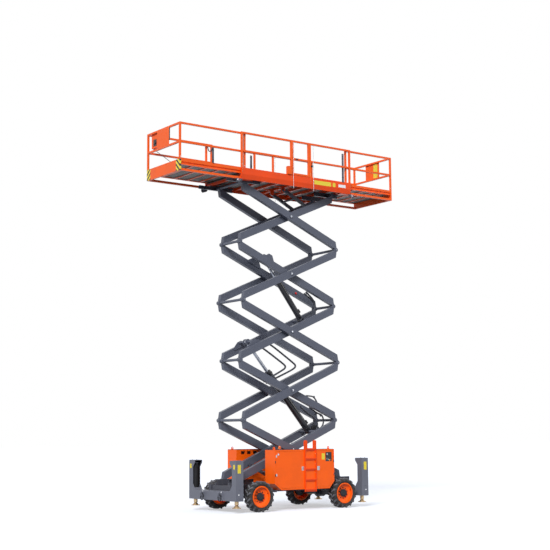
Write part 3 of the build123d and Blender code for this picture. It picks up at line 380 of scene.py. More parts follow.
# how many cover bolts and wheel nuts, the radius of their circles and how far out they sit; the same
# for the valve, with its turn round the wheel
cover_bolts, cover_circle, cover_height = 12, 0.0895, 0.0750
wheel_nuts, nut_circle, disc_height = 10, 0.143, 0.0290
valve_circle, valve_height, valve_turn = 0.236, 0.060, 0.35
for name, side in corners:
    finish(orange_enamel, f"rim_{name}")
    outward = pointing(centre_of(f"tyre_{name}"), (0, side, 0))
    hub = bmesh.new()
    turned(hub, [(0, 0.0295), (0.1075, 0.0295), (0.1075, 0.0690), (0.1000, 0.0745), (0.0780, 0.0755),
                 (0.0720, 0.0860), (0.0420, 0.0900), (0, 0.0900)], outward, 48)
    # brake drum behind the disc, shallow on the wheels that steer
    drum_r, drum_back = (0.098, -0.016) if name.startswith("front") else (0.140, -0.070)
    turned(hub, [(0, 0.0145), (drum_r - 0.005, 0.0145), (drum_r, 0.008), (drum_r, drum_back + 0.012),
                 (drum_r - 0.020, drum_back), (0, drum_back)], outward, 48)
    for k in range(cover_bolts):
        round_cover = Matrix.Rotation(2 * pi * k / cover_bolts, 4, "Z")
        hex_bolt(hub, outward @ round_cover @ Matrix.Translation((cover_circle, 0, cover_height)), 0.0105)
    piece(f"hub_{name}", hub, f"wheel_{name}", hub_black)
    nuts = bmesh.new()
    for k in range(wheel_nuts):
        round_disc = Matrix.Rotation(2 * pi * (k + 0.5) / wheel_nuts, 4, "Z")
        spot = outward @ round_disc @ Matrix.Translation((nut_circle, 0, disc_height))
        turned(nuts, [(0, 0), (0.0155, 0), (0.0125, 0.006), (0, 0.006)], spot, 20)
        turned(nuts, [(0, 0.005), (0.0122, 0.005), (0.0122, 0.020), (0.0095, 0.023), (0, 0.023)], spot, 6)
        turned(nuts, [(0, 0.022), (0.0065, 0.022), (0.0065, 0.032), (0.0050, 0.034), (0, 0.034)], spot, 12)
    # valve in the barrel of the rim
    seat = outward @ Matrix.Rotation(valve_turn, 4, "Z") @ Matrix.Translation((valve_circle, 0, valve_height))
    turned(nuts, [(0, 0), (0.006, 0), (0.006, 0.030), (0.004, 0.045), (0, 0.045)], seat, 12)
    piece(f"wheel_nuts_{name}", nuts, f"wheel_{name}", hub_black)

# ---- Tyres
# Moulded rubber with two rows of slanted bars that meet in a chevron and turn down over the
# shoulder.  Matt black, worn smooth on the bars, whose tops are drawn greyer both for wear and as a painted
# highlight, with dried dust between them.

tyre_rubber, rubber, rubber_shader, rubber_place = blank("moulded_tyre_rubber")
# wear and painted highlight: how much of the lighter grey each part of a bar gets
highlit_and_worn = add(rubber, "ShaderNodeAttribute", {"attribute_name": "highlight_and_wear"}).outputs["Fac"]
# dust in blots of 40 mm, kept off the bar tops, which carry wear and the painted highlight
blots = add(rubber, "ShaderNodeTexNoise", values={"Scale": 25.0, "Detail": 8.0, "Roughness": 0.65},
            links={"Vector": rubber_place}).outputs[0]
dusty_share = add(rubber, "ShaderNodeMapRange", values={"From Min": 0.45, "From Max": 0.75, "To Min": 0.03,
                                                        "To Max": 0.36}, links={"Value": blots})
sheltered = add(rubber, "ShaderNodeMath", {"operation": "SUBTRACT"}, {0: 1.0}, {1: highlit_and_worn})
dust_share = add(rubber, "ShaderNodeMath", {"operation": "MULTIPLY"}, links={0: dusty_share.outputs[0],
                                                                             1: sheltered.outputs[0]})
# painted highlight and wear: the bar tops are drawn a lighter grey than the black rubber
bar_tone = add(rubber, "ShaderNodeMix", {"data_type": "RGBA"}, {"A": paint("#1c1c1f"), "B": paint("#66666c")},
               {"Factor": highlit_and_worn})
rubber_tone = add(rubber, "ShaderNodeMix", {"data_type": "RGBA"}, {"B": paint("#6b645a")},
                  {"Factor": dust_share.outputs[0], "A": bar_tone.outputs["Result"]})
rubber.links.new(rubber_tone.outputs["Result"], rubber_shader.inputs["Base Color"])
rubber_dull = add(rubber, "ShaderNodeMapRange", values={"To Min": 0.86, "To Max": 0.55},
                  links={"Value": highlit_and_worn})
rubber.links.new(rubber_dull.outputs[0], rubber_shader.inputs["Roughness"])
# skin of the mould, drawn at 5 mm
skin = add(rubber, "ShaderNodeTexNoise", values={"Scale": 200.0, "Detail": 4.0},
           links={"Vector": rubber_place})
rubber_bump = add(rubber, "ShaderNodeBump", values={"Strength": 0.25, "Distance": 0.002},
                  links={"Height": skin.outputs[0]})
rubber.links.new(rubber_bump.outputs[0], rubber_shader.inputs["Normal"])

tread_root = 0.384
bar_slant = radians(28)
bars_a_row = 16
bar_pitch = 2 * pi / bars_a_row
# a bar's place round the tyre is taken where it lies this far out, and its shoulder starts at the second
bar_anchor, shoulder = 0.067, 0.13
# how far towards the lighter grey the bar tops and shoulders are drawn, for wear and as a painted highlight
top_highlight_and_wear, shoulder_highlight_and_wear = 1.0, 0.35
# half of the carcass outline: radius and distance from the middle of the tyre
carcass_half = [(0.2625, 0.1000), (0.2900, 0.1035), (0.2940, 0.1210), (0.3030, 0.1310), (0.3090, 0.1335),
                (0.3120, 0.1310), (0.3300, 0.1440), (0.3440, 0.1462), (0.3500, 0.1445), (0.3560, 0.1425),
                (0.3680, 0.1365), (0.3790, 0.1260), (0.3835, 0.1080), (0.3845, 0.0600), (0.3845, 0.0120)]
# a bar along its run: foot radius and distance out, top radius and distance out, half width of foot and top
bar_run = ((0.3830, -0.012, 0.3960, -0.009, 0.024, 0.017), (0.3830, 0.008, 0.4080, 0.008, 0.026, 0.020),
           (0.3830, 0.050, 0.4090, 0.050, 0.026, 0.021), (0.3820, 0.100, 0.4090, 0.098, 0.028, 0.022),
           (0.3770, 0.126, 0.4070, 0.127, 0.031, 0.025), (0.3660, 0.134, 0.3940, 0.1450, 0.032, 0.026),
           (0.3480, 0.142, 0.3660, 0.1492, 0.030, 0.024), (0.3330, 0.143, 0.3400, 0.1475, 0.024, 0.019))


def tyre_point(centre, radius, angle, out):
    """A place on a tyre whose axle runs along Y."""
    return centre + Vector((radius * cos(angle), out, -radius * sin(angle)))


for name, side in corners:
    centre = centre_of(f"tyre_{name}")
    tyre = bmesh.new()
    highlight_and_wear = tyre.verts.layers.float.new("highlight_and_wear")
    outline = carcass_half + [(radius, -out) for radius, out in reversed(carcass_half)]
    turned(tyre, outline + outline[:1], pointing(centre, (0, 1, 0)), 96)
    # the two rows stand half a bar's pitch apart
    for row, first in ((1, 0.5), (-1, 1.0)):
        for number in range(bars_a_row):
            middle = bar_pitch * (number + first)
            stations = []
            for foot_r, foot_out, top_r, top_out, foot_half, top_half in bar_run:
                angle = middle - (foot_out - bar_anchor) * tan(bar_slant) / tread_root
                section = ((foot_r, foot_out, foot_half, -1), (top_r, top_out, top_half, -1),
                           (top_r, top_out, top_half, 1), (foot_r, foot_out, foot_half, 1))
                stations.append([
                    tyre.verts.new(tyre_point(centre, radius, angle + way * half / radius, row * out))
                    for radius, out, half, way in section])
                for top in stations[-1][1:3]:
                    top[highlight_and_wear] = top_highlight_and_wear if foot_out < shoulder else shoulder_highlight_and_wear
            tyre.faces.new(stations[0])
            tyre.faces.new(stations[-1])
            for one, two in zip(stations, stations[1:]):
                for k in range(4):
                    tyre.faces.new((one[k], one[(k + 1) % 4], two[(k + 1) % 4], two[k]))
    made = piece(f"tyre_tread_{name}", tyre, f"wheel_{name}", tyre_rubber)
    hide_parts(f"tyre_{name}")

# ---- Outriggers and jacks
# Cross beams of folded plate with a column at each end, in slate grey enamel.  Each column holds a
# black jack cylinder with a plated rod and foot.  Blank vinyl plates mark the columns, and forged
# rings for lashing hang from the beams.

slate_enamel = enamel("slate_grey_enamel", "#686a75", 0.44, dust="#8a8a8c", dusty=0.08)
finish(slate_enamel, "outrigger_front", "outrigger_rear")
for name, side in corners:
    finish(yellow_zinc, f"jack_leg_{name}")


def film(name, colour, roughness=0.38):
    """Printed vinyl film, left blank: even and slightly glossy, scuffed in fine specks."""
    material, tree, shader, place = blank(name)
    scuffs = add(tree, "ShaderNodeTexNoise", values={"Scale": 60.0, "Detail": 8.0, "Roughness": 0.7},
                 links={"Vector": place}).outputs[0]
    share = add(tree, "ShaderNodeMapRange", values={"From Min": 0.52, "From Max": 0.8, "To Max": 0.35},
                links={"Value": scuffs})
    mix = add(tree, "ShaderNodeMix", {"data_type": "RGBA"}, {"A": paint(colour), "B": paint("#b9b3a6")},
              {"Factor": share.outputs[0]})
    tree.links.new(mix.outputs["Result"], shader.inputs["Base Color"])
    shader.inputs["Roughness"].default_value = roughness
    bump = add(tree, "ShaderNodeBump", values={"Strength": 0.05, "Distance": 0.001}, links={"Height": scuffs})
    tree.links.new(bump.outputs[0], shader.inputs["Normal"])
    return material


yellow_film = film("yellow_vinyl_film", "#e8d132")
white_film = film("white_vinyl_film", "#f1f2f4")


def facing(point, normal):
    """Place on an upright face: its own Z straight out of the face, its Y up."""
    out, up = Vector(normal).normalized(), Vector((0, 0, 1))
    return Matrix.Translation(point) @ Matrix((up.cross(out), up, out)).transposed().to_4x4()


def rounded_plate(bm, place, width, height, thick, corner=0.008):
    """Flat plate with rounded corners, its back on the place's own XY plane."""
    outline = []
    for quarter, (sx, sy) in enumerate(((1, 1), (-1, 1), (-1, -1), (1, -1))):
        for step in range(5):
            angle = pi / 2 * (quarter + step / 4)
            outline.append((sx * (width / 2 - corner) + corner * cos(angle),
                            sy * (height / 2 - corner) + corner * sin(angle)))
    back = [bm.verts.new(place @ Vector((x, y, 0))) for x, y in outline]
    front = [bm.verts.new(place @ Vector((x, y, thick))) for x, y in outline]
    bm.faces.new(back)
    bm.faces.new(front)
    for k in range(len(outline)):
        following = (k + 1) % len(outline)
        bm.faces.new((back[k], back[following], front[following], front[k]))


def dome(bm, place, radius):
    """Domed head of a rivet or small cap."""
    turned(bm, [(0, 0), (radius, 0), (radius * 0.94, radius * 0.3), (radius * 0.6, radius * 0.62),
                (0, radius * 0.75)], place, 20)


# beam, and the end of the machine it is at
outriggers = (("outrigger_front", 1), ("outrigger_rear", -1))
# how far the lashing lugs stand out of a beam, and the depth of beam and column
lug_out, column_depth = 0.110, 0.240
jack_y = 1.0
film_thick = 0.0012
yellow_plates, white_plates, column_parts = bmesh.new(), bmesh.new(), bmesh.new()
for node, end in outriggers:
    low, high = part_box(node)
    outer_x = max(abs(low.x - middle_x), abs(high.x - middle_x)) - lug_out
    face_x = middle_x + end * outer_x
    inner_x = face_x - end * column_depth
    mid_x = (face_x + inner_x) / 2
    for side in (-1, 1):
        # plates on the column's side and on the face that looks away from the machine
        rounded_plate(yellow_plates, facing((mid_x + end * 0.012, side * high.y, 1.150), (0, side, 0)),
                      0.100, 0.222, film_thick)
        rounded_plate(yellow_plates, facing((face_x, side * 1.064, 1.205), (end, 0, 0)), 0.080, 0.118,
                      film_thick)
        rounded_plate(white_plates, facing((mid_x + end * 0.028, side * high.y, 0.484), (0, side, 0)),
                      0.046, 0.030, film_thick, 0.014)
        rounded_plate(white_plates, facing((face_x, side * 0.455, 0.536), (end, 0, 0)),
                      0.032, 0.048, film_thick, 0.015)
        # bolts that hold the jack in its column, top and bottom
        for x in (mid_x - 0.075, mid_x + 0.075):
            hex_bolt(column_parts, pointing((x, side * 1.06, high.z), (0, 0, 1)), 0.019)
        for z in (0.40, 0.60):
            hex_bolt(column_parts, facing((mid_x, side * high.y, z), (0, side, 0)), 0.022)

# matt black primer on the lashing rings and the jacks; the same black inside each column is painted shade
black_primer_and_painted_shade = enamel("matt_black_primer_and_painted_shade", "#151518", 0.75, dust="#4a4846", dusty=0.2, coat=0.0)

# forged ring through the hole of each lashing lug, hanging against the beam, a little taller than wide
ring_r, ring_bar_r = 0.080, 0.010
hole_in, hole_z, ring_drop = 0.065, 0.465, 0.068
lashing_rings = bmesh.new()
for node, end in outriggers:
    low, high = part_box(node)
    hole_x = high.x - hole_in if end > 0 else low.x + hole_in
    for y in (-0.430, 0.430):
        hung = Matrix.Translation((hole_x, y, hole_z - ring_drop)) @ Matrix.Rotation(pi / 2, 4, "Y")
        turned(lashing_rings, [(ring_r + ring_bar_r * cos(pi * k / 6), ring_bar_r * sin(pi * k / 6))
                               for k in range(13)], hung @ Matrix.Diagonal((1.15, 0.90, 1.0, 1.0)), 40)
piece("lashing_rings", lashing_rings, "chassis", black_primer_and_painted_shade)
piece("outrigger_yellow_plates", yellow_plates, "chassis", yellow_film)
piece("outrigger_white_plates", white_plates, "chassis", white_film)
piece("column_bolts", column_parts, "chassis", slate_enamel)

# thickness of a jack's foot, and the radius of its circle of bolts
foot_thick, foot_circle = 0.014, 0.098
for name, side in corners:
    low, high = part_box(f"jack_leg_{name}")
    x, y = (low.x + high.x) / 2, side * jack_y
    jack = bmesh.new()
    turned(jack, [(0.0765, 0.60), (0.0785, 0.60), (0.0785, 1.15), (0.0860, 1.155), (0.0860, 1.215),
                  (0.0785, 1.22), (0.0785, 1.285), (0.0765, 1.285), (0.0765, 0.60)],
           Matrix.Translation((x, y, 0)), 40)
    # hose unions at both ends of the cylinder
    for z in (0.66, 1.18):
        turned(jack, [(0, 0.070), (0.016, 0.070), (0.016, 0.095), (0.011, 0.097), (0.011, 0.120), (0, 0.120)],
               pointing((x, y, z), (0, -side, 0)), 12)
    piece(f"jack_cylinder_{name}", jack, "chassis", black_primer_and_painted_shade)
    foot = bmesh.new()
    turned(foot, [(0.066, 0.0), (0.078, 0.004), (0.078, 0.012), (0.060, 0.020), (0.060, 0.0), (0.066, 0.0)],
           Matrix.Translation((x, y, low.z + foot_thick)), 40)
    for k in range(4):
        angle = pi / 2 * k + pi / 4
        hex_bolt(foot, Matrix.Translation((x + foot_circle * cos(angle), y + foot_circle * sin(angle),
                                           low.z + foot_thick)), 0.015)
    piece(f"jack_foot_{name}", foot, f"jack_{name}", yellow_zinc)

# near-black sheets on the three inner faces of each open column, painted shade for its dark inside: Y and Z
# round each end face, and the outer wall
column_opening = ((0.960, 0.700), (1.133, 0.625), (1.133, 1.350), (0.860, 1.350), (0.960, 1.185))
wall_low, wall_high = 0.625, 1.350
wall_thick, skin_half = 0.0125, 0.0004
lining = bmesh.new()
for node, end in outriggers:
    low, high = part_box(node)
    face_x = (high.x if end > 0 else low.x) - end * lug_out
    back_x = face_x - end * column_depth
    for side in (-1, 1):
        for x in (face_x - end * wall_thick, back_x + end * wall_thick):
            ring = [[lining.verts.new((x + shift, side * y, z)) for y, z in column_opening]
                    for shift in (-skin_half, skin_half)]
            lining.faces.new(ring[0])
            lining.faces.new(ring[1])
            for k in range(len(column_opening)):
                following = (k + 1) % len(column_opening)
                lining.faces.new((ring[0][k], ring[0][following], ring[1][following], ring[1][k]))
        slab(lining, (min(face_x, back_x) + 0.013, side * 1.1325, wall_low),
             (max(face_x, back_x) - 0.013, side * 1.1338, wall_high))
piece("column_painted_shade_lining", lining, "chassis", black_primer_and_painted_shade)

# ---- Cabinets
# Two hollow cabinets of folded sheet steel in orange enamel, with hinged doors.  Latches, cap and
# front hinge leaves are stainless; stops and seals are black rubber; the beacon is amber acrylic on
# a black foot.

finish(orange_enamel, "cabinet_left", "cabinet_right", "door_left_front", "door_left_rear",
       "door_right_front", "door_right_rear")
# painted shade: a darker, redder copy of the orange, for the shade between the ladder's treads and on the
# main deck's side boards; partly the deck's own redder paint
red_orange_enamel_with_painted_shade = enamel("red_orange_enamel_with_painted_shade", "#f24a04", 0.42, dust="#b9683a", dusty=0.06)
finish(red_orange_enamel_with_painted_shade, "ladder")
# stainless steel, brushed along its length: a soft silver with fine lines
stainless = metal("brushed_stainless_steel", "#c9ccd1", 0.34, "#b4b7bd", (1, 12, 12), 90.0)


def plastic(name, colour, roughness, grain=400.0):
    """Moulded plastic or rubber: even colour, fine grain from the mould, slightly dull."""
    material, tree, shader, place = blank(name)
    cloud = add(tree, "ShaderNodeTexNoise", values={"Scale": 18.0, "Detail": 4.0},
                links={"Vector": place}).outputs[0]
    tone = add(tree, "ShaderNodeMapRange", values={"To Min": 0.86, "To Max": 1.14}, links={"Value": cloud})
    shade = add(tree, "ShaderNodeHueSaturation", values={"Color": paint(colour)},
                links={"Value": tone.outputs[0]})
    tree.links.new(shade.outputs[0], shader.inputs["Base Color"])
    dull = add(tree, "ShaderNodeMapRange", values={"To Min": roughness - 0.06, "To Max": roughness + 0.08},
               links={"Value": cloud})
    tree.links.new(dull.outputs[0], shader.inputs["Roughness"])
    leather = add(tree, "ShaderNodeTexNoise", values={"Scale": grain, "Detail": 2.0}, links={"Vector": place})
    bump = add(tree, "ShaderNodeBump", values={"Strength": 0.10, "Distance": 0.0008},
               links={"Height": leather.outputs[0]})
    tree.links.new(bump.outputs[0], shader.inputs["Normal"])
    return material


black_rubber = plastic("moulded_black_rubber", "#1d1d20", 0.62)
black_abs = plastic("black_abs_moulding", "#222327", 0.45)
red_abs = plastic("red_abs_moulding", "#d5221c", 0.32)
yellow_abs = plastic("yellow_abs_moulding", "#f2c524", 0.34)
grey_abs = plastic("pale_grey_abs_moulding", "#d7dadf", 0.36)

# door, side, x of its hinge edge, direction from there into the door, x of its latch pocket
doors = (("door_left_front", 1, 0.855, -1, -0.052), ("door_left_rear", 1, -1.105, 1, -0.590),
         ("door_right_front", -1, 0.855, -1, -0.052), ("door_right_rear", -1, -1.105, 1, -0.590))
# how far out the doors' faces, the hinge leaves, the hinge pins and the latch pans lie
door_face, leaf_out, pin_out, pan_out = 1.132, 1.136, 1.141, 1.1222
latch_z = 1.120
leaf_height, leaf_thick = 0.066, 0.0020
flange_rise, flange_thick = 0.0099, 0.0024
for name, side, edge_x, inward, latch_x in doors:
    face_y = side * door_face
    hardware, leaves = bmesh.new(), bmesh.new()
    # leaf over each hinge, with its two screws, and a sleeve on the knuckle
    for z in (0.930, 1.430):
        leaf = facing((edge_x + inward * 0.018, side * leaf_out, z + 0.035), (0, side, 0))
        rounded_plate(leaves, leaf, 0.026, leaf_height, leaf_thick, 0.004)
        for dz in (-0.020, 0.020):
            dome(leaves, leaf @ Matrix.Translation((0, dz, leaf_thick)), 0.0045)
        turned(leaves, band(0.0093, 0.0112, 0, leaf_height),
               Matrix.Translation((edge_x, side * pin_out, z + 0.002)), 20)
    # the leaves of the rear doors are painted with the door
    piece(f"{name}_hinge_leaves", leaves, name, stainless if inward < 0 else orange_enamel)
    # paddle latch: a pressed pan in the pocket, its flange and paddle, and the key cylinder
    pan = facing((latch_x, side * pan_out, latch_z), (0, side, 0))
    rounded_plate(hardware, pan, 0.077, 0.077, 0.0022, 0.006)
    for sx, sy, w, h in ((-0.0360, 0, 0.014, 0.108), (0.0360, 0, 0.014, 0.108), (0, -0.0455, 0.060, 0.017),
                         (0, 0.0455, 0.060, 0.017)):
        rounded_plate(hardware, pan @ Matrix.Translation((sx, sy, flange_rise)), w, h, flange_thick, 0.0035)
    paddle = pan @ Matrix.Translation((0.006, 0, 0.0050)) @ Matrix.Rotation(radians(6), 4, "Y")
    rounded_plate(hardware, paddle, 0.040, 0.054, 0.0022, 0.006)
    turned(hardware, [(0, 0.002), (0.0075, 0.002), (0.0075, 0.0085), (0.0060, 0.0095), (0, 0.0095)],
           pan @ Matrix.Translation((-0.022, 0.0, 0.0)), 20)
    piece(f"{name}_hardware", hardware, name, stainless)
    slot_mark = bmesh.new()
    slab(slot_mark, (latch_x - 0.003, face_y - side * 0.0040, 1.106),
         (latch_x + 0.003, face_y - side * 0.0020, 1.134))
    piece(f"{name}_latch_slot", slot_mark, name, black_rubber, 0.0006)
    # rubber stops beside the hinges
    stops = bmesh.new()
    for z in (0.955, 1.310):
        spot = facing((edge_x + inward * -0.024, face_y, z), (0, side, 0))
        rounded_plate(stops, spot, 0.022, 0.062, 0.010, 0.008)
    piece(f"{name}_stops", stops, "chassis", black_rubber, 0.0025)

# cap on the front left door, blank yellow plate beside the ground controls, and bolts of the ladder
cap = bmesh.new()
turned(cap, [(0, 0), (0.030, 0), (0.030, 0.004), (0.024, 0.006), (0.022, 0.013), (0.018, 0.016), (0, 0.016)],
       pointing((0.780, door_face, 1.511), (0, 1, 0)))
piece("door_cap", cap, "door_left_front", stainless)
plate = bmesh.new()
rounded_plate(plate, facing((-0.762, door_face, 1.434), (0, 1, 0)), 0.108, 0.170, film_thick)
piece("control_yellow_plate", plate, "door_left_rear", yellow_film)
ladder_bolts = bmesh.new()
for x in (-0.480, -0.120):
    for z in (0.62, 1.00, 1.24, 1.52):
        hex_bolt(ladder_bolts, facing((x, 1.1325, z), (0, 1, 0)), 0.013)
piece("ladder_bolts", ladder_bolts, "chassis", yellow_zinc)

# rubber seal round the top of each cabinet, open where the ladder passes
seal_low, seal_high = 1.6321, 1.6380
gap_rear, gap_front = -0.500, -0.100
for side, word in ((1, "left"), (-1, "right")):
    low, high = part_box(f"cabinet_{word}")
    rear, front = low.x + 0.006, high.x - 0.006
    seal = bmesh.new()
    for x0, x1, y0, y1 in ((rear, front, 0.696, 0.712), (rear, gap_rear, 1.112, 1.128),
                           (gap_front, front, 1.112, 1.128)):
        slab(seal, (x0, side * y0, seal_low), (x1, side * y1, seal_high))
    for x in (low.x + 0.014, high.x - 0.014):
        slab(seal, (x - 0.008, side * 0.714, seal_low), (x + 0.008, side * 1.110, seal_high))
    piece(f"cabinet_seal_{word}", seal, "chassis", black_rubber, 0.002)

# raised ribs on the treads of the ladder
treads = bmesh.new()
for z in (0.565, 0.835, 1.125, 1.405, 1.665):
    for y in (1.140, 1.148, 1.156, 1.164):
        slab(treads, (-0.478, y - 0.0012, z - 0.0002), (-0.122, y + 0.0012, z + 0.0022))
piece("ladder_tread_ribs", treads, "chassis", orange_enamel, 0.0006)

# louvres in the three vents of the right cabinet's inner wall
lowest_blade, blade_pitch = 1.5085, 0.017
louvres = bmesh.new()
for x in (0.261, 0.468, 0.675):
    for k in range(5):
        blade = Matrix.Translation((x, -0.708, lowest_blade + blade_pitch * k))
        block(louvres, blade @ Matrix.Rotation(radians(38), 4, "X"), (0.134, 0.020, 0.0022))
piece("vent_louvres", louvres, "chassis", black_rubber, 0.0006)

# engine: ribbed iron casting, brush-painted dark
engine_iron, iron, iron_shader, iron_place = blank("painted_iron_casting")
sand = add(iron, "ShaderNodeTexNoise", values={"Scale": 160.0, "Detail": 5.0},
           links={"Vector": iron_place}).outputs[0]
iron_tone = add(iron, "ShaderNodeMix", {"data_type": "RGBA"}, {"A": paint("#25272b"), "B": paint("#3b3d42")},
                {"Factor": sand})
iron.links.new(iron_tone.outputs["Result"], iron_shader.inputs["Base Color"])
iron_shader.inputs["Roughness"].default_value = 0.6
# ribs every 40 mm
ribs = add(iron, "ShaderNodeTexWave", {"bands_direction": "Z"}, {"Scale": 4.0, "Distortion": 0.2},
           {"Vector": iron_place})
iron_bump = add(iron, "ShaderNodeBump", values={"Strength": 0.8, "Distance": 0.012},
                links={"Height": ribs.outputs["Fac"]})
sand_bump = add(iron, "ShaderNodeBump", values={"Strength": 0.3, "Distance": 0.002},
                links={"Height": sand, "Normal": iron_bump.outputs[0]})
iron.links.new(sand_bump.outputs[0], iron_shader.inputs["Normal"])
finish(engine_iron, "engine")

# ground controls on their black panel, which steps out by the raised face in its upper half
finish(black_abs, "ground_control")
panel_y = 1.118
raised_face = 0.0122
stop_red, stop_yellow, panel_silver, panel_pale, panel_rockers = [bmesh.new() for k in range(5)]
stop = pointing((-1.000, panel_y, 1.330), (0, 1, 0))
turned(stop_yellow, disc(0.024, 0, 0.0035), stop)
turned(stop_red, [(0, 0.0035), (0.009, 0.0035), (0.009, 0.0065), (0.016, 0.0075), (0.0165, 0.0105),
                  (0.011, 0.0125), (0, 0.0130)], stop)
# hour meter, rockers, toggle switches and the key switch
turned(panel_pale, [(0, raised_face), (0.022, raised_face), (0.022, 0.0140), (0.019, 0.0140), (0.018, 0.0132),
                    (0, 0.0132)], pointing((-0.905, panel_y, 1.497), (0, 1, 0)))
for x in (-0.935, -0.965, -0.995):
    rocker = facing((x, panel_y + raised_face, 1.492), (0, 1, 0)) @ Matrix.Rotation(radians(8), 4, "X")
    rounded_plate(panel_rockers, rocker, 0.014, 0.028, 0.0030, 0.003)
for x, z in ((-0.880, 1.375), (-0.915, 1.375), (-0.880, 1.335), (-0.915, 1.335)):
    turned(panel_silver, [(0, 0), (0.0075, 0), (0.0075, 0.0025), (0.0045, 0.0030), (0.0030, 0.0110),
                          (0.0035, 0.0130), (0, 0.0135)], pointing((x, panel_y, z), (0, 1, 0)), 16)
turned(panel_silver, [(0, 0), (0.012, 0), (0.012, 0.004), (0.009, 0.005), (0.009, 0.0095), (0, 0.0095)],
       pointing((-0.955, panel_y, 1.350), (0, 1, 0)), 20)
for name, bm, material in (("stop_red", stop_red, red_abs), ("stop_yellow", stop_yellow, yellow_abs),
                           ("panel_silver", panel_silver, stainless), ("panel_pale", panel_pale, grey_abs),
                           ("panel_rockers", panel_rockers, black_rubber)):
    piece(f"ground_{name}", bm, "door_left_rear", material)

# beacon: ribbed amber lens on a black foot
amber_acrylic, amber, amber_shader, amber_place = blank("amber_acrylic")
haze = add(amber, "ShaderNodeTexNoise", values={"Scale": 40.0, "Detail": 4.0},
           links={"Vector": amber_place}).outputs[0]
amber_tone = add(amber, "ShaderNodeMix", {"data_type": "RGBA"},
                 {"A": paint("#ff8a10"), "B": paint("#f4701a")}, {"Factor": haze})
amber.links.new(amber_tone.outputs["Result"], amber_shader.inputs["Base Color"])
amber_shader.inputs["Roughness"].default_value = 0.16
amber_shader.inputs["IOR"].default_value = 1.49
amber_shader.inputs["Transmission Weight"].default_value = 0.45
beacon_low, beacon_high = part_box("beacon")
beacon_spot = Matrix.Translation(((beacon_low.x + beacon_high.x) / 2, (beacon_low.y + beacon_high.y) / 2,
                                  beacon_low.z))
foot = bmesh.new()
lens_foot, rib_pitch, rib_depth = 0.0195, 0.0055, 0.0014
turned(foot, [(0, 0), (0.045, 0), (0.045, 0.006), (0.042, 0.014), (0.040, lens_foot), (0, lens_foot)],
       beacon_spot, 40)
piece("beacon_foot", foot, "chassis", black_abs)
lens = bmesh.new()
ribs_up = [(0.0378 - (rib_depth if k % 2 else 0), 0.020 + rib_pitch * k) for k in range(12)]
turned(lens, [(0, lens_foot)] + ribs_up + [(0.0350, 0.0880), (0.0290, 0.0990), (0.0180, 0.1060), (0, 0.1085)],
       beacon_spot, 40)
lens_piece = piece("beacon_lens", lens, "chassis", amber_acrylic)
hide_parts("beacon")

# ---- Scissor arms
# Five stages of paired box beams in slate grey enamel, with cross tubes.  Each pin is held by a
# keeper cap and bolt, and a weld bead runs across each beam where its end plates begin.

stages = range(1, 6)
arm_enamel = enamel("blue_slate_enamel", "#575b68", 0.42, dust="#85868a", dusty=0.07)
finish(arm_enamel, *[f"arms_outer_{n}" for n in stages], *[f"arms_inner_{n}" for n in stages])
finish(dark_enamel, "centring_link_bottom", "centring_link_top")

arm_tilt = radians(23.31)
# half of an arm between its bevelled ends, and from its middle to its end pin, level and up
arm_half = 1.832
pin_run, pin_rise = 1.64135, 0.82049
# the outer arms' outer face, with the thickness of a pin's cap
arm_face, cap_thick = 0.6412, 0.0065
weld_steel = enamel("painted_weld_bead", "#686b78", 0.40, dust="#8a8a8c", dusty=0.05)


def arm_directions(lean):
    """Along an arm that rises towards the front (1) or the rear (-1), and square to it, upwards."""
    return (Vector((lean * cos(arm_tilt), 0, sin(arm_tilt))),
            Vector((-lean * sin(arm_tilt), 0, cos(arm_tilt))))


def arm_middle(node):
    """Centre pin of a pair of arms."""
    low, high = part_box(node)
    return Vector((middle_x, 0, (low.z + high.z) / 2))


for n in stages:
    middle = arm_middle(f"arms_outer_{n}")
    # odd outer arms rise towards the front, even ones towards the rear
    lean = 1 if n % 2 else -1
    along, above = arm_directions(lean)
    # cap and bolt on each pin that joins this arm to the stage below
    if n < stages[-1]:
        pin_x, pin_z = middle_x - lean * pin_run, middle.z - pin_rise
        caps, heads = bmesh.new(), bmesh.new()
        for side in (-1, 1):
            turned(caps, [(0, 0), (0.036, 0), (0.036, 0.0035), (0.031, cap_thick), (0, cap_thick)],
                   pointing((pin_x, side * arm_face, pin_z), (0, side, 0)), 28)
            hex_bolt(heads, pointing((pin_x, side * (arm_face + cap_thick), pin_z), (0, side, 0)), 0.017)
        piece(f"pin_caps_{n}", caps, f"outer_{n}", arm_enamel)
        piece(f"pin_bolts_{n}", heads, f"outer_{n}", stainless)
    # weld beads across the beam where its end plates begin
    beads = bmesh.new()
    for side in (-1, 1):
        for end in (-1, 1):
            start = middle + along * (end * (arm_half - 0.215)) + Vector((0, side, 0)) * 0.641
            for t in range(12):
                spot = start + above * (-0.096 + 0.016 * t)
                # every other ripple lies a little to one side
                sway = along * (0.0012 if t % 2 else -0.0012)
                for shift, radius in ((sway, 0.0065), (above * 0.008, 0.0062)):
                    bmesh.ops.create_icosphere(beads, subdivisions=1, radius=radius,
                                               matrix=Matrix.Translation(spot + shift))
    piece(f"weld_beads_{n}", beads, f"outer_{n}", weld_steel)
    # washers, nuts and domed pin ends on the centre pin, which the inner arms carry
    centre_nuts = bmesh.new()
    pin_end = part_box(f"arms_inner_{n}")[1].y
    for side in (-1, 1):
        seat = pointing((middle_x, side * pin_end, middle.z), (0, side, 0))
        turned(centre_nuts, disc(0.031, 0, 0.003), seat, 28)
        turned(centre_nuts, [(0, 0.003), (0.024, 0.003), (0.024, 0.012), (0.020, 0.015), (0, 0.015)], seat, 6)
        dome(centre_nuts, pointing((middle_x, side * (pin_end + 0.015), middle.z), (0, side, 0)), 0.009)
    piece(f"centre_nuts_{n}", centre_nuts, f"inner_{n}", stainless)

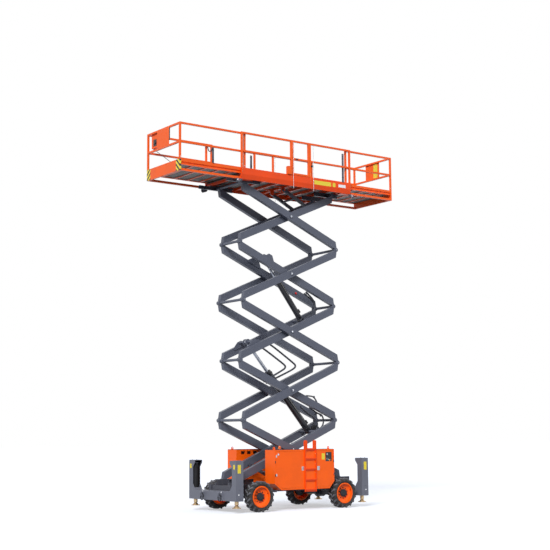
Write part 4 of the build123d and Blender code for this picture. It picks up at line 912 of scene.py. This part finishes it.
# ---- Lift cylinders
# Honed steel tube in gloss black with a turned gland, and a hard-chromed rod.  A steel pipe along
# the tube feeds the gland end from the valve block on the foot.


def leaning(along, above):
    """Turn that lays X along a leaning arm or cylinder and Z square to it, upwards."""
    return Matrix((along, Vector((0, 1, 0)), above)).transposed().to_4x4()


# name, barrel radius, rod radius, length from foot pin to the front of the gland
cylinders = (("lower_cylinder", 0.088, 0.046, 2.220), ("upper_cylinder", 0.076, 0.042, 1.500))
# where the pipe starts, and how much shorter it is than the barrel
pipe_start, pipe_short = 0.300, 0.415
union_long, gland_bolts = 0.020, 8
for name, barrel_r, rod_r, gland_at in cylinders:
    finish(black_enamel, f"{name}_barrel")
    finish(hard_chrome, f"{name}_rod")
    foot_point = Vector(joints[f"{name}_foot"]["pos_m"])
    run = Vector(joints[f"{name}_stroke"]["axis"])
    place = pointing(foot_point, run)
    above = Vector((-run.z, 0, run.x))
    rings = bmesh.new()
    turned(rings, [(barrel_r + 0.0085, gland_at - 0.050), (barrel_r + 0.014, gland_at - 0.048),
                   (barrel_r + 0.014, gland_at - 0.012), (barrel_r + 0.0085, gland_at - 0.010),
                   (barrel_r + 0.0085, gland_at - 0.050)], place, 48)
    turned(rings, [(barrel_r + 0.001, 0.130), (barrel_r + 0.006, 0.134), (barrel_r + 0.006, 0.158),
                   (barrel_r + 0.001, 0.162), (barrel_r + 0.001, 0.130)], place, 48)
    for k in range(gland_bolts):
        round_gland = Matrix.Rotation(2 * pi * k / gland_bolts, 4, "Z")
        hex_bolt(rings, place @ round_gland @ Matrix.Translation((barrel_r - 0.012, 0, gland_at)), 0.012)
    # valve block near the foot, two pipe clamps and the port at the gland
    for distance, half_width, height, length in (
            (0.26, 0.035, 0.055, 0.110), (gland_at * 0.45, 0.014, 0.040, 0.028),
            (gland_at * 0.72, 0.014, 0.040, 0.028), (gland_at - 0.100, 0.022, 0.036, 0.045)):
        spot = foot_point + run * distance + above * (barrel_r - 0.004)
        block(rings, Matrix.Translation(spot) @ leaning(run, above) @ Matrix.Translation((0, 0, height / 2)),
              (length, 2 * half_width, height))
    piece(f"{name}_fittings", rings, f"{name}_barrel", black_enamel, 0.0015)
    pipe = bmesh.new()
    start = pointing(foot_point + run * pipe_start + above * (barrel_r + 0.024), run)
    turned(pipe, disc(0.0075, 0, gland_at - pipe_short), start, 14)
    for distance in (0.0, gland_at - pipe_short - union_long):
        turned(pipe, band(0.0076, 0.0135, distance, distance + union_long), start, 6)
    piece(f"{name}_pipe", pipe, f"{name}_barrel", dark_enamel)
    wiper = bmesh.new()
    turned(wiper, [(rod_r + 0.001, gland_at), (rod_r + 0.010, gland_at), (rod_r + 0.006, gland_at + 0.010),
                   (rod_r + 0.001, gland_at + 0.012), (rod_r + 0.001, gland_at)], place, 40)
    piece(f"{name}_wiper", wiper, f"{name}_barrel", black_rubber)

# ---- Hydraulic hoses
# Rubber hoses with a cloth-marked cover that loop from one pair of inner arms to the next, beside or
# near their common pin, each end crimped into a phosphated steel union.  The unions move with their arms.
# Straight supply hoses are clipped along the lower inner arms and feed a valve block.

hose_rubber, hose_tree, hose_shader, hose_place = blank("braided_hose_rubber")
# wrap marks drawn 12 mm apart, coarser than the real 2 mm so that they show
wrap = add(hose_tree, "ShaderNodeTexWave", {"bands_direction": "DIAGONAL"},
           {"Scale": 26.0, "Distortion": 1.0}, {"Vector": hose_place})
hose_tone = add(hose_tree, "ShaderNodeMix", {"data_type": "RGBA"},
                {"A": paint("#24262e"), "B": paint("#363a46")}, {"Factor": wrap.outputs["Fac"]})
hose_tree.links.new(hose_tone.outputs["Result"], hose_shader.inputs["Base Color"])
hose_shader.inputs["Roughness"].default_value = 0.5
hose_bump = add(hose_tree, "ShaderNodeBump", values={"Strength": 0.3, "Distance": 0.001},
                links={"Height": wrap.outputs["Fac"]})
hose_tree.links.new(hose_bump.outputs[0], hose_shader.inputs["Normal"])

# phosphated steel unions: dark grey, slightly oily
union_steel = metal("phosphated_steel", "#4c4e55", 0.42, "#3a3b41")


def hose_mesh(name, points, radius, material):
    """Tube of a hose along a smooth line with these control points, as a mesh."""
    line = bpy.data.curves.new(name, "CURVE")
    line.dimensions = "3D"
    line.bevel_depth = radius
    line.bevel_resolution = 4
    line.use_fill_caps = True
    spline = line.splines.new("NURBS")
    spline.points.add(len(points) - 1)
    for point, place in zip(spline.points, points):
        point.co = (*place, 1)
    spline.order_u = 3
    spline.use_endpoint_u = True
    spline.resolution_u = 8
    drawn = bpy.data.objects.new(f"{name}_line", line)
    mesh = bpy.data.meshes.new_from_object(drawn)
    bpy.data.objects.remove(drawn)
    mesh.name = name
    mesh.materials.clear()
    mesh.materials.append(material)
    mesh.shade_smooth()
    made = bpy.data.objects.new(name, mesh)
    scene.collection.objects.link(made)
    return made


# name, lower body, upper body, radius, y, then the run from the lower arm to the upper one in X and Z
hoses = (
    ("hose_outer_loop", "inner_4", "inner_3", 0.026, 0.150,
     ((0.449, 3.478), (0.091, 3.629), (-0.381, 3.830), (-0.541, 3.915), (-0.586, 3.985), (-0.501, 4.060),
      (0.188, 4.490), (0.329, 4.560), (0.519, 4.640))),
    ("hose_inner_loop", "inner_4", "inner_3", 0.026, 0.215,
     ((0.580, 3.515), (0.246, 3.683), (-0.060, 3.838), (-0.150, 3.895), (-0.175, 3.955), (-0.080, 4.030),
      (0.623, 4.448), (0.810, 4.540))),
    ("hose_bend_left", "inner_3", "inner_2", 0.024, 0.190,
     ((-0.750, 5.300), (-0.868, 5.415), (-1.089, 5.485), (-1.260, 5.590), (-1.300, 5.770), (-1.170, 5.970),
      (-0.960, 6.110))),
    ("hose_bend_right", "inner_3", "inner_2", 0.024, 0.132,
     ((-0.775, 5.290), (-0.895, 5.400), (-1.115, 5.470), (-1.285, 5.590), (-1.325, 5.760), (-1.185, 5.940),
      (-0.935, 6.070))),
    ("hose_rear_left", "inner_5", "inner_4", 0.022, 0.180,
     ((-1.100, 2.060), (-1.300, 2.180), (-1.480, 2.230), (-1.560, 2.400), (-1.500, 2.600), (-1.300, 2.640),
      (-1.050, 2.800))),
    ("hose_rear_right", "inner_5", "inner_4", 0.022, -0.180,
     ((-1.050, 2.040), (-1.260, 2.180), (-1.420, 2.240), (-1.500, 2.400), (-1.440, 2.560), (-1.250, 2.620),
      (-1.000, 2.820))),
    ("hose_rear_upper", "inner_5", "inner_4", 0.018, 0.250,
     ((-1.150, 2.080), (-1.300, 2.260), (-1.240, 2.420), (-1.120, 2.520), (-1.210, 2.640), (-1.340, 2.620),
      (-1.400, 2.560))))
for name, lower, upper, radius, y, run in hoses:
    points = [(x, y, z) for x, z in run]
    made = hose_mesh(name, points, radius, hose_rubber)
    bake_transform(made)
    for word, body, tip, back in (("lower", lower, points[0], points[1]),
                                  ("upper", upper, points[-1], points[-2])):
        union = bmesh.new()
        inward = (Vector(back) - Vector(tip)).normalized()
        place = pointing(Vector(tip) - inward * 0.010, inward)
        turned(union, disc(radius * 1.35, 0, 0.028), place, 6)
        turned(union, [(radius * 1.02, 0.026), (radius * 1.22, 0.028), (radius * 1.22, 0.085),
                       (radius * 1.02, 0.090), (radius * 1.02, 0.026)], place, 24)
        piece(f"{name}_union_{word}", union, body, union_steel)

# supply hoses clipped inside the left arms of the four lower pairs, one above the other
supply_half, supply_y, clip_y = 1.300, 0.343, 0.341
first_clip, clip_pitch = -1.200, 0.480
for n in range(2, 6):
    middle = arm_middle(f"arms_inner_{n}")
    # inner arms lean the other way from the outer ones
    along, above = arm_directions(-1 if n % 2 else 1)
    supply, clamps = bmesh.new(), bmesh.new()
    for rise in (0.058, 0.086):
        start = middle + along * -supply_half + above * rise + Vector((0, supply_y, 0))
        turned(supply, disc(0.011, 0, 2 * supply_half), pointing(start, along), 14)
    for step in range(6):
        spot = middle + along * (first_clip + clip_pitch * step) + above * 0.072 + Vector((0, clip_y, 0))
        block(clamps, Matrix.Translation(spot) @ leaning(along, above), (0.034, 0.030, 0.066))
    piece(f"supply_hoses_{n}", supply, f"inner_{n}", hose_rubber)
    piece(f"supply_clamps_{n}", clamps, f"inner_{n}", black_abs, 0.003)

# valve block on a cross bar between the lowest inner arms, with its solenoids and plugs
valve_from_middle = 1.390
along, above = arm_directions(-1)
valve_spot = arm_middle("arms_inner_5") + along * valve_from_middle
valve_place = Matrix.Translation(valve_spot) @ leaning(along, above)
valve, solenoids = bmesh.new(), bmesh.new()
for offset, size in (((0, 0, -0.020), (0.060, 0.712, 0.016)), ((0, 0, 0.030), (0.150, 0.220, 0.084))):
    block(valve, valve_place @ Matrix.Translation(offset), size)
for y in (-0.075, 0.0, 0.075):
    for x in (-0.038, 0.038):
        turned(solenoids, [(0, 0.072), (0.020, 0.072), (0.020, 0.118), (0.012, 0.120), (0.012, 0.134),
                           (0, 0.134)], valve_place @ Matrix.Translation((x, y, 0)), 20)
piece("valve_block", valve, "inner_5", black_enamel, 0.003)
piece("valve_solenoids", solenoids, "inner_5", black_abs)

# stiff loop above the fourth pair of inner arms, with its ball clips
loop_y = 0.322
loop_run = ((-0.700, 2.960), (-0.760, 3.130), (-0.900, 3.125), (-1.094, 3.110), (-1.236, 2.897),
            (-1.330, 2.720))
ring = hose_mesh("hose_ring", [(x, loop_y, z) for x, z in loop_run], 0.020, hose_rubber)
clipped = bmesh.new()
clipped.from_mesh(ring.data)
for x, z in ((-0.765, 3.110), (-1.094, 3.096), (-0.700, 2.960), (-1.330, 2.720)):
    turned(clipped, [(0, -0.030), (0.024, -0.023), (0.034, 0), (0.024, 0.023), (0, 0.030)],
           pointing((x, loop_y, z), (0, 1, 0)), 20)
clipped.to_mesh(ring.data)
clipped.free()
ring.data.shade_smooth()
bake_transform(ring)

# red grease cap inside the right arm of the second pair
grease = bmesh.new()
turned(grease, [(0, 0), (0.034, 0), (0.034, 0.012), (0.026, 0.024), (0, 0.028)],
       pointing((-1.000, -0.357, 6.140), (0, 1, 0)), 28)
piece("arm_grease_cap", grease, "inner_2", red_abs)

# ---- Platform deck
# Main deck of folded side boards and cross members in red-orange enamel, drawn darker partly as painted
# shade on its side boards, with railings and roll-out decks lighter.  The floor is aluminium plate rolled
# with a raised pattern, drawn dark greenish grey partly as painted shade under the deck, and the roller
# channels underneath are dark grey.

deck_enamel = enamel("deck_orange_enamel", "#f75f10", 0.42, dust="#b9683a", dusty=0.05)
# the main deck's darker red-orange is partly painted shade on its side boards
finish(red_orange_enamel_with_painted_shade, "deck_main")
finish(deck_enamel, "deck_front", "deck_rear", "rail_main_left", "rail_main_right", "rail_front", "rail_rear",
       "gate")
finish(dark_enamel, "deck_channels")

floor_plate, plate_tree, plate_shader, plate_place = blank("raised_pattern_aluminium")
# lens-shaped bars 28 mm apart, each at right angles to its neighbours
cells = add(plate_tree, "ShaderNodeVectorMath", {"operation": "SCALE"}, {"Scale": 1 / 0.028},
            {0: plate_place}).outputs[0]
whole = add(plate_tree, "ShaderNodeVectorMath", {"operation": "FLOOR"}, links={0: cells}).outputs[0]
part = add(plate_tree, "ShaderNodeVectorMath", {"operation": "SUBTRACT"},
           links={0: cells, 1: whole}).outputs[0]
cell_xyz = add(plate_tree, "ShaderNodeSeparateXYZ", links={"Vector": whole})
part_xyz = add(plate_tree, "ShaderNodeSeparateXYZ", links={"Vector": part})
step_sum = add(plate_tree, "ShaderNodeMath", {"operation": "ADD"},
               links={0: cell_xyz.outputs["X"], 1: cell_xyz.outputs["Y"]})
parity = add(plate_tree, "ShaderNodeMath", {"operation": "FLOORED_MODULO"}, {1: 2.0},
             {0: step_sum.outputs[0]}).outputs[0]
px = add(plate_tree, "ShaderNodeMath", {"operation": "SUBTRACT"}, {1: 0.5},
         {0: part_xyz.outputs["X"]}).outputs[0]
py = add(plate_tree, "ShaderNodeMath", {"operation": "SUBTRACT"}, {1: 0.5},
         {0: part_xyz.outputs["Y"]}).outputs[0]
lengthways = add(plate_tree, "ShaderNodeMix", {"data_type": "FLOAT"},
                 links={"Factor": parity, "A": px, "B": py}).outputs[0]
crossways = add(plate_tree, "ShaderNodeMix", {"data_type": "FLOAT"},
                links={"Factor": parity, "A": py, "B": px}).outputs[0]
far = add(plate_tree, "ShaderNodeMath", {"operation": "MULTIPLY"}, {1: 2.1}, {0: lengthways}).outputs[0]
wide = add(plate_tree, "ShaderNodeMath", {"operation": "MULTIPLY"}, {1: 7.0}, {0: crossways}).outputs[0]
far_square = add(plate_tree, "ShaderNodeMath", {"operation": "MULTIPLY"}, links={0: far, 1: far}).outputs[0]
wide_square = add(plate_tree, "ShaderNodeMath", {"operation": "MULTIPLY"},
                  links={0: wide, 1: wide}).outputs[0]
spread = add(plate_tree, "ShaderNodeMath", {"operation": "ADD"},
             links={0: far_square, 1: wide_square}).outputs[0]
bar = add(plate_tree, "ShaderNodeMapRange", values={"From Min": 1.0, "From Max": 0.2},
          links={"Value": spread}).outputs[0]
scratches = add(plate_tree, "ShaderNodeTexNoise", values={"Scale": 9.0, "Detail": 9.0, "Roughness": 0.7},
                links={"Vector": plate_place}).outputs[0]
# grime and painted shade: the plate is drawn dark greenish grey in two patchy tones, far darker than bare
# aluminium, for the dim light under the deck as well as its grime
grime_and_painted_shade = add(plate_tree, "ShaderNodeMix", {"data_type": "RGBA"}, {"A": paint("#5f5f58"), "B": paint("#47463f")},
           {"Factor": scratches})
rubbed = add(plate_tree, "ShaderNodeMix", {"data_type": "RGBA"}, {"B": paint("#9b9c9a")},
             {"Factor": bar, "A": grime_and_painted_shade.outputs["Result"]})
plate_tree.links.new(rubbed.outputs["Result"], plate_shader.inputs["Base Color"])
plate_shader.inputs["Metallic"].default_value = 0.5
plate_dull = add(plate_tree, "ShaderNodeMapRange", values={"To Min": 0.62, "To Max": 0.30},
                 links={"Value": bar})
plate_tree.links.new(plate_dull.outputs[0], plate_shader.inputs["Roughness"])
plate_bump = add(plate_tree, "ShaderNodeBump", values={"Strength": 0.9, "Distance": 0.0025},
                 links={"Height": bar})
plate_tree.links.new(plate_bump.outputs[0], plate_shader.inputs["Normal"])
finish(floor_plate, "floor_main", "floor_front", "floor_rear")

deck_low, deck_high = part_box("deck_main")
side_y = deck_high.y
# the main deck's four posts on each side
post_xs = (deck_low.x + 0.025, -0.6, 0.075, deck_high.x - 0.025)

# bolts of the side boards
board_bolts = bmesh.new()
for side in (-1, 1):
    for x in post_xs:
        for z in (9.215, 9.275):
            hex_bolt(board_bolts, facing((x, side * side_y, z), (0, side, 0)), 0.016)
piece("side_board_bolts", board_bolts, "platform", yellow_zinc)

# carry rollers at the deck's lower corners: steel pin end, the bolts of its bracket and a red grease cap
roller_z = 8.9732
bracket_y = 0.8932
rollers, grease_caps = bmesh.new(), bmesh.new()
for end, x in ((1, deck_high.x + 0.085), (-1, deck_low.x - 0.085)):
    for side in (-1, 1):
        turned(rollers, [(0, 0), (0.030, 0), (0.030, 0.004), (0.024, 0.009), (0.012, 0.010), (0, 0.010)],
               pointing((x, side * bracket_y, roller_z), (0, side, 0)), 28)
        for dx, dz in ((0.035, 0.020), (-0.045, 0.020), (-0.020, -0.028)):
            bolt = (x + end * dx - end * 0.02, side * bracket_y, roller_z + dz - 0.01)
            hex_bolt(rollers, pointing(bolt, (0, side, 0)), 0.014)
        dome(grease_caps, pointing((x, side * 0.9040, roller_z), (0, side, 0)), 0.016)
piece("carry_roller_ends", rollers, "platform", stainless)
piece("carry_roller_caps", grease_caps, "platform", red_abs)

# blank yellow and white films along the left side board, repeated on the right one
board_film_z, board_film_thick = 9.205, 0.0010
films, white_films = bmesh.new(), bmesh.new()
for side in (-1, 1):
    for bm, x, width, height in ((films, -1.040, 0.620, 0.120), (films, -1.460, 0.100, 0.120),
                                 (white_films, -1.760, 0.270, 0.085)):
        rounded_plate(bm, facing((x, side * side_y, board_film_z), (0, side, 0)), width, height,
                      board_film_thick)
piece("side_yellow_films", films, "platform", yellow_film)
piece("side_white_films", white_films, "platform", white_film)

# ---- Guardrails and gate
# Square steel tube, welded and sprayed like the roll-out decks.  Nylon sleeves cover the fold joints,
# the fold pins hang on upright steel lanyards, and the gate has a sliding latch beside a pull knob.

# graphite-coloured nylon sleeve over the fold joints
sheath_nylon = plastic("graphite_nylon_sleeve", "#3c4150", 0.42)
# body, then x, middle y, low and high end of the sheath on it
for body, x, y, z0, z1 in (("deck_rear", -1.860, 0.846, 9.335, 10.200),
                           ("platform", 0.167, -0.944, 9.835, 10.230),
                           ("deck_front", 1.600, -0.812, 9.800, 10.250)):
    # flattened to half its width, so that the decks pass each other
    place = Matrix.Translation((x, y, z0)) @ Matrix.Diagonal((1.0, 0.5, 1.0, 1.0))
    tall = z1 - z0
    sheath, clips = bmesh.new(), bmesh.new()
    turned(sheath, [(0, 0), (0.030, 0), (0.035, 0.006), (0.035, tall - 0.006), (0.030, tall), (0, tall)],
           place, 24)
    for z in (tall * 0.18, tall * 0.82):
        turned(clips, band(0.0352, 0.0375, -0.009, 0.009), place @ Matrix.Translation((0, 0, z)), 24)
    piece(f"fold_sheaths_{body}", sheath, body, sheath_nylon)
    piece(f"sheath_clips_{body}", clips, body, black_rubber)

# lanyards with the beads of their pins
lanyard_foot, lanyard_length = 8.945, 1.330
lanyards = bmesh.new()
for x in (0.020, -0.700):
    for side in (-1, 1):
        y = side * 0.9325
        turned(lanyards, disc(0.0060, 0, lanyard_length), Matrix.Translation((x, y, lanyard_foot)), 10)
        for z in (lanyard_foot, 9.235, 9.800, 10.260):
            turned(lanyards, [(0, -0.010), (0.0075, -0.010), (0.0085, 0), (0.0075, 0.010), (0, 0.010)],
                   Matrix.Translation((x, y, z)), 14)
piece("pin_lanyards", lanyards, "platform", stainless)

# domed pins through the feet of the posts
pins = bmesh.new()
for side in (-1, 1):
    for x in post_xs:
        for z in (9.395, 9.430):
            dome(pins, facing((x, side * side_y, z), (0, side, 0)), 0.010)
piece("post_pins", pins, "platform", yellow_zinc)

gate_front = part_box("gate")[1].x
gate_latch_z = 9.794
latch = bmesh.new()
rounded_plate(latch, facing((gate_front - 0.150, side_y, gate_latch_z), (0, 1, 0)), 0.090, 0.034, 0.0030,
              0.006)
turned(latch, [(0, 0.003), (0.013, 0.003), (0.013, 0.012), (0.016, 0.014), (0.016, 0.024), (0.012, 0.027),
               (0, 0.027)], pointing((gate_front - 0.162, side_y, gate_latch_z), (0, 1, 0)), 24)
slab(latch, (gate_front - 0.105, side_y - 0.042, 9.788), (gate_front + 0.004, side_y - 0.030, 9.800))
piece("gate_latch", latch, "gate", black_abs, 0.0008)

# pull knob on its square plate beside the gate
knob_x, knob_z = -0.648, 9.655
knob = bmesh.new()
turned(knob, [(0, 0), (0.009, 0), (0.009, 0.010), (0.022, 0.014), (0.026, 0.024), (0.024, 0.032),
              (0.012, 0.037), (0, 0.038)], pointing((knob_x, 0.925, knob_z), (0, 1, 0)), 28)
rounded_plate(knob, facing((knob_x, 0.9252, knob_z), (0, 1, 0)), 0.060, 0.060, 0.003, 0.010)
piece("gate_pull_knob", knob, "platform", black_abs)

# lid and front of the document box, sprayed with the rail
lid = bmesh.new()
for z, width, height, thick, corner in ((9.545, 0.118, 0.014, 0.003, 0.004),
                                        (9.440, 0.092, 0.130, 0.0015, 0.010)):
    rounded_plate(lid, facing((0.166, 0.965, z), (0, 1, 0)), width, height, thick, corner)
piece("document_box_lid", lid, "platform", deck_enamel)

# short control hose looped under the top rail beside the front sheath
loop = hose_mesh("rail_hose", [(1.600, -0.800, 10.180), (1.630, -0.800, 10.250), (1.680, -0.795, 10.130),
                               (1.740, -0.800, 10.110), (1.775, -0.805, 10.180), (1.775, -0.812, 10.260)],
                 0.014, hose_rubber)
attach(loop, "deck_front")

# ---- Roll-out decks
# Each roll-out deck ends in a flat board, with a sheet-steel plate screwed across the middle of its end
# rail.  The front board's corners carry hazard tape, and the rear plate carries a blank yellow film.

hazard_tape, tape, tape_shader, tape_place = blank("hazard_tape")
tape_xyz = add(tape, "ShaderNodeSeparateXYZ", links={"Vector": tape_place})
across_board = add(tape, "ShaderNodeMath", {"operation": "ABSOLUTE"},
                   links={0: tape_xyz.outputs["Y"]}).outputs[0]
slant = add(tape, "ShaderNodeMath", {"operation": "ADD"},
            links={0: across_board, 1: tape_xyz.outputs["Z"]}).outputs[0]
# a yellow and a black band together are 150 mm across
turns = add(tape, "ShaderNodeMath", {"operation": "DIVIDE"}, {1: 0.150}, {0: slant}).outputs[0]
share_of_turn = add(tape, "ShaderNodeMath", {"operation": "FRACT"}, links={0: turns}).outputs[0]
black_band = add(tape, "ShaderNodeMath", {"operation": "GREATER_THAN"}, {1: 0.52},
                 {0: share_of_turn}).outputs[0]
grime = add(tape, "ShaderNodeTexNoise", values={"Scale": 45.0, "Detail": 8.0},
            links={"Vector": tape_place}).outputs[0]
tape_tone = add(tape, "ShaderNodeMix", {"data_type": "RGBA"}, {"A": paint("#f4dc3c"), "B": paint("#1b1b1c")},
                {"Factor": black_band})
grime_share = add(tape, "ShaderNodeMapRange", values={"From Min": 0.5, "From Max": 0.8, "To Max": 0.3},
                  links={"Value": grime})
tape_dirty = add(tape, "ShaderNodeMix", {"data_type": "RGBA"}, {"B": paint("#8d8676")},
                 {"Factor": grime_share.outputs[0], "A": tape_tone.outputs["Result"]})
tape.links.new(tape_dirty.outputs["Result"], tape_shader.inputs["Base Color"])
tape_shader.inputs["Roughness"].default_value = 0.42
tape_bump = add(tape, "ShaderNodeBump", values={"Strength": 0.06, "Distance": 0.001}, links={"Height": grime})
tape.links.new(tape_bump.outputs[0], tape_shader.inputs["Normal"])

low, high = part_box("deck_front")
board_z, tape_height, tape_thick = (low.z + high.z) / 2, high.z - low.z - 0.004, 0.0010
hazard = bmesh.new()
for side in (-1, 1):
    rounded_plate(hazard, facing((high.x, side * 0.765, board_z), (1, 0, 0)), 0.188, tape_height, tape_thick,
                  0.003)
    rounded_plate(hazard, facing((high.x - 0.0255, side * high.y, board_z), (0, side, 0)), 0.046, tape_height,
                  tape_thick, 0.003)
piece("hazard_tape_front", hazard, "deck_front", hazard_tape)

# screws of the end plate, of the corner posts and along the floor's edges; the last number is how far
# the inner posts stand from the machine's middle
for word, end, inner_post in (("front", 1, 1.740), ("rear", -1, 1.870)):
    low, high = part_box(f"deck_{word}")
    end_x = high.x if end > 0 else low.x
    plate_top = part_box(f"rail_{word}")[1].z
    floor_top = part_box(f"floor_{word}")[1].z
    rivets = bmesh.new()
    for y in (-0.285, -0.095, 0.095, 0.285):
        for z in (plate_top - 0.025, plate_top - 0.535):
            dome(rivets, facing((end_x, y, z), (end, 0, 0)), 0.007)
    for side in (-1, 1):
        for x in (end_x - end * 0.025, middle_x + end * inner_post):
            for z in (9.360, 9.395):
                dome(rivets, facing((x, side * 0.860, z), (0, side, 0)), 0.009)
        for k in range(8):
            x = end_x - end * (0.09 + 0.235 * k)
            dome(rivets, Matrix.Translation((x, side * 0.785, floor_top)), 0.008)
    piece(f"end_rivets_{word}", rivets, f"deck_{word}", stainless)

# film on the inner face of the rear plate, and a black strip up the edge of the front one
sheet = bmesh.new()
rounded_plate(sheet, facing((-3.744, 0.143, 10.045), (1, 0, 0)), 0.185, 0.480, film_thick, 0.010)
piece("rear_plate_film", sheet, "deck_rear", yellow_film)
edge_strip = bmesh.new()
slab(edge_strip, (3.734, 0.3155, 9.930), (3.752, 0.3400, 10.275))
piece("front_plate_edge_strip", edge_strip, "deck_front", black_rubber, 0.003)

# ---- Platform control
# Orange sheet-metal box hung in the front guardrail, its sloped lid carrying a joystick beside a bent
# guard, a stop button and rocker switches.  A thin steel stay ties it to the end board.

finish(deck_enamel, "platform_control")
box_low, box_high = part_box("platform_control")
slope_low = Vector((box_low.x, 0, box_high.z - 0.110))
slope_high = Vector((box_high.x - 0.045, 0, box_high.z))
up_slope = (slope_high - slope_low).normalized()
slope_out = Vector((-up_slope.z, 0, up_slope.x))


def on_lid(y, share):
    """Place on the sloped lid: its own Z out of the lid, Y up the slope."""
    point = slope_low.lerp(slope_high, share) + Vector((0, y, 0))
    axes = Matrix((up_slope.cross(slope_out), up_slope, slope_out))
    return Matrix.Translation(point) @ axes.transposed().to_4x4()


# joystick, stop button on its yellow plate, rocker switches and the black face under them
stop_y = -0.440
stick, red, yellow, switches, face = [bmesh.new() for k in range(5)]
rounded_plate(face, on_lid(-0.535, 0.5), 0.286, 0.118, 0.0020, 0.008)
stick_foot = on_lid(-0.600, 0.45)
turned(stick, [(0, 0.002), (0.030, 0.002), (0.028, 0.010), (0.020, 0.016), (0.022, 0.022), (0.014, 0.030),
               (0.010, 0.036), (0, 0.036)], stick_foot, 28)
turned(stick, [(0, 0.034), (0.007, 0.034), (0.008, 0.060), (0.016, 0.070), (0.018, 0.100), (0.014, 0.118),
               (0.007, 0.124), (0, 0.125)], stick_foot @ Matrix.Rotation(radians(-20), 4, "X"), 24)
turned(yellow, disc(0.026, 0.002, 0.006), on_lid(stop_y, 0.5), 28)
turned(red, [(0, 0.006), (0.010, 0.006), (0.010, 0.016), (0.019, 0.018), (0.020, 0.026), (0.012, 0.030),
             (0, 0.031)], on_lid(stop_y, 0.5), 28)
for y in (-0.545, -0.515, -0.485):
    for share in (0.25, 0.72):
        rocker = on_lid(y, share) @ Matrix.Translation((0, 0, 0.002)) @ Matrix.Rotation(radians(9), 4, "X")
        rounded_plate(switches, rocker, 0.016, 0.028, 0.0050, 0.003)
for name, bm, material in (("stick", stick, black_rubber), ("red", red, red_abs),
                           ("yellow", yellow, yellow_abs), ("switches", switches, grey_abs),
                           ("face", face, black_abs)):
    piece(f"control_{name}", bm, "deck_front", material)

# black panel with a round cover on the box's front, and the bent guard at its right side
cover_y, cover_z = -0.510, 10.030
front_panel = bmesh.new()
rounded_plate(front_panel, facing((box_high.x, cover_y, cover_z), (1, 0, 0)), 0.170, 0.190, 0.0040, 0.020)
turned(front_panel, [(0, 0.004), (0.045, 0.004), (0.045, 0.020), (0.036, 0.028), (0, 0.028)],
       pointing((box_high.x, cover_y, cover_z), (1, 0, 0)), 28)
piece("control_front_panel", front_panel, "deck_front", black_abs)
guard_y = -0.678
guard = hose_mesh("control_guard", [(box_high.x - 0.030, guard_y, box_high.z - 0.150),
                                    (box_high.x - 0.075, guard_y, box_high.z - 0.010),
                                    (box_high.x - 0.180, guard_y, box_high.z - 0.035),
                                    (box_low.x - 0.010, guard_y, box_high.z - 0.130),
                                    (box_low.x - 0.002, guard_y, box_high.z - 0.300)], 0.010, deck_enamel)
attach(guard, "deck_front")

# steel stay with an eye at each end
tie_from, tie_to = Vector((3.640, -0.672, 9.885)), Vector((3.640, 0.270, 9.330))
tie = tie_to - tie_from
stay = bmesh.new()
turned(stay, disc(0.008, 0, tie.length), pointing(tie_from, tie), 12)
for spot in (tie_from, tie_to):
    turned(stay, band(0.009, 0.017, -0.005, 0.005), pointing(spot, (1, 0, 0)), 20)
piece("control_stay", stay, "deck_front", black_enamel)
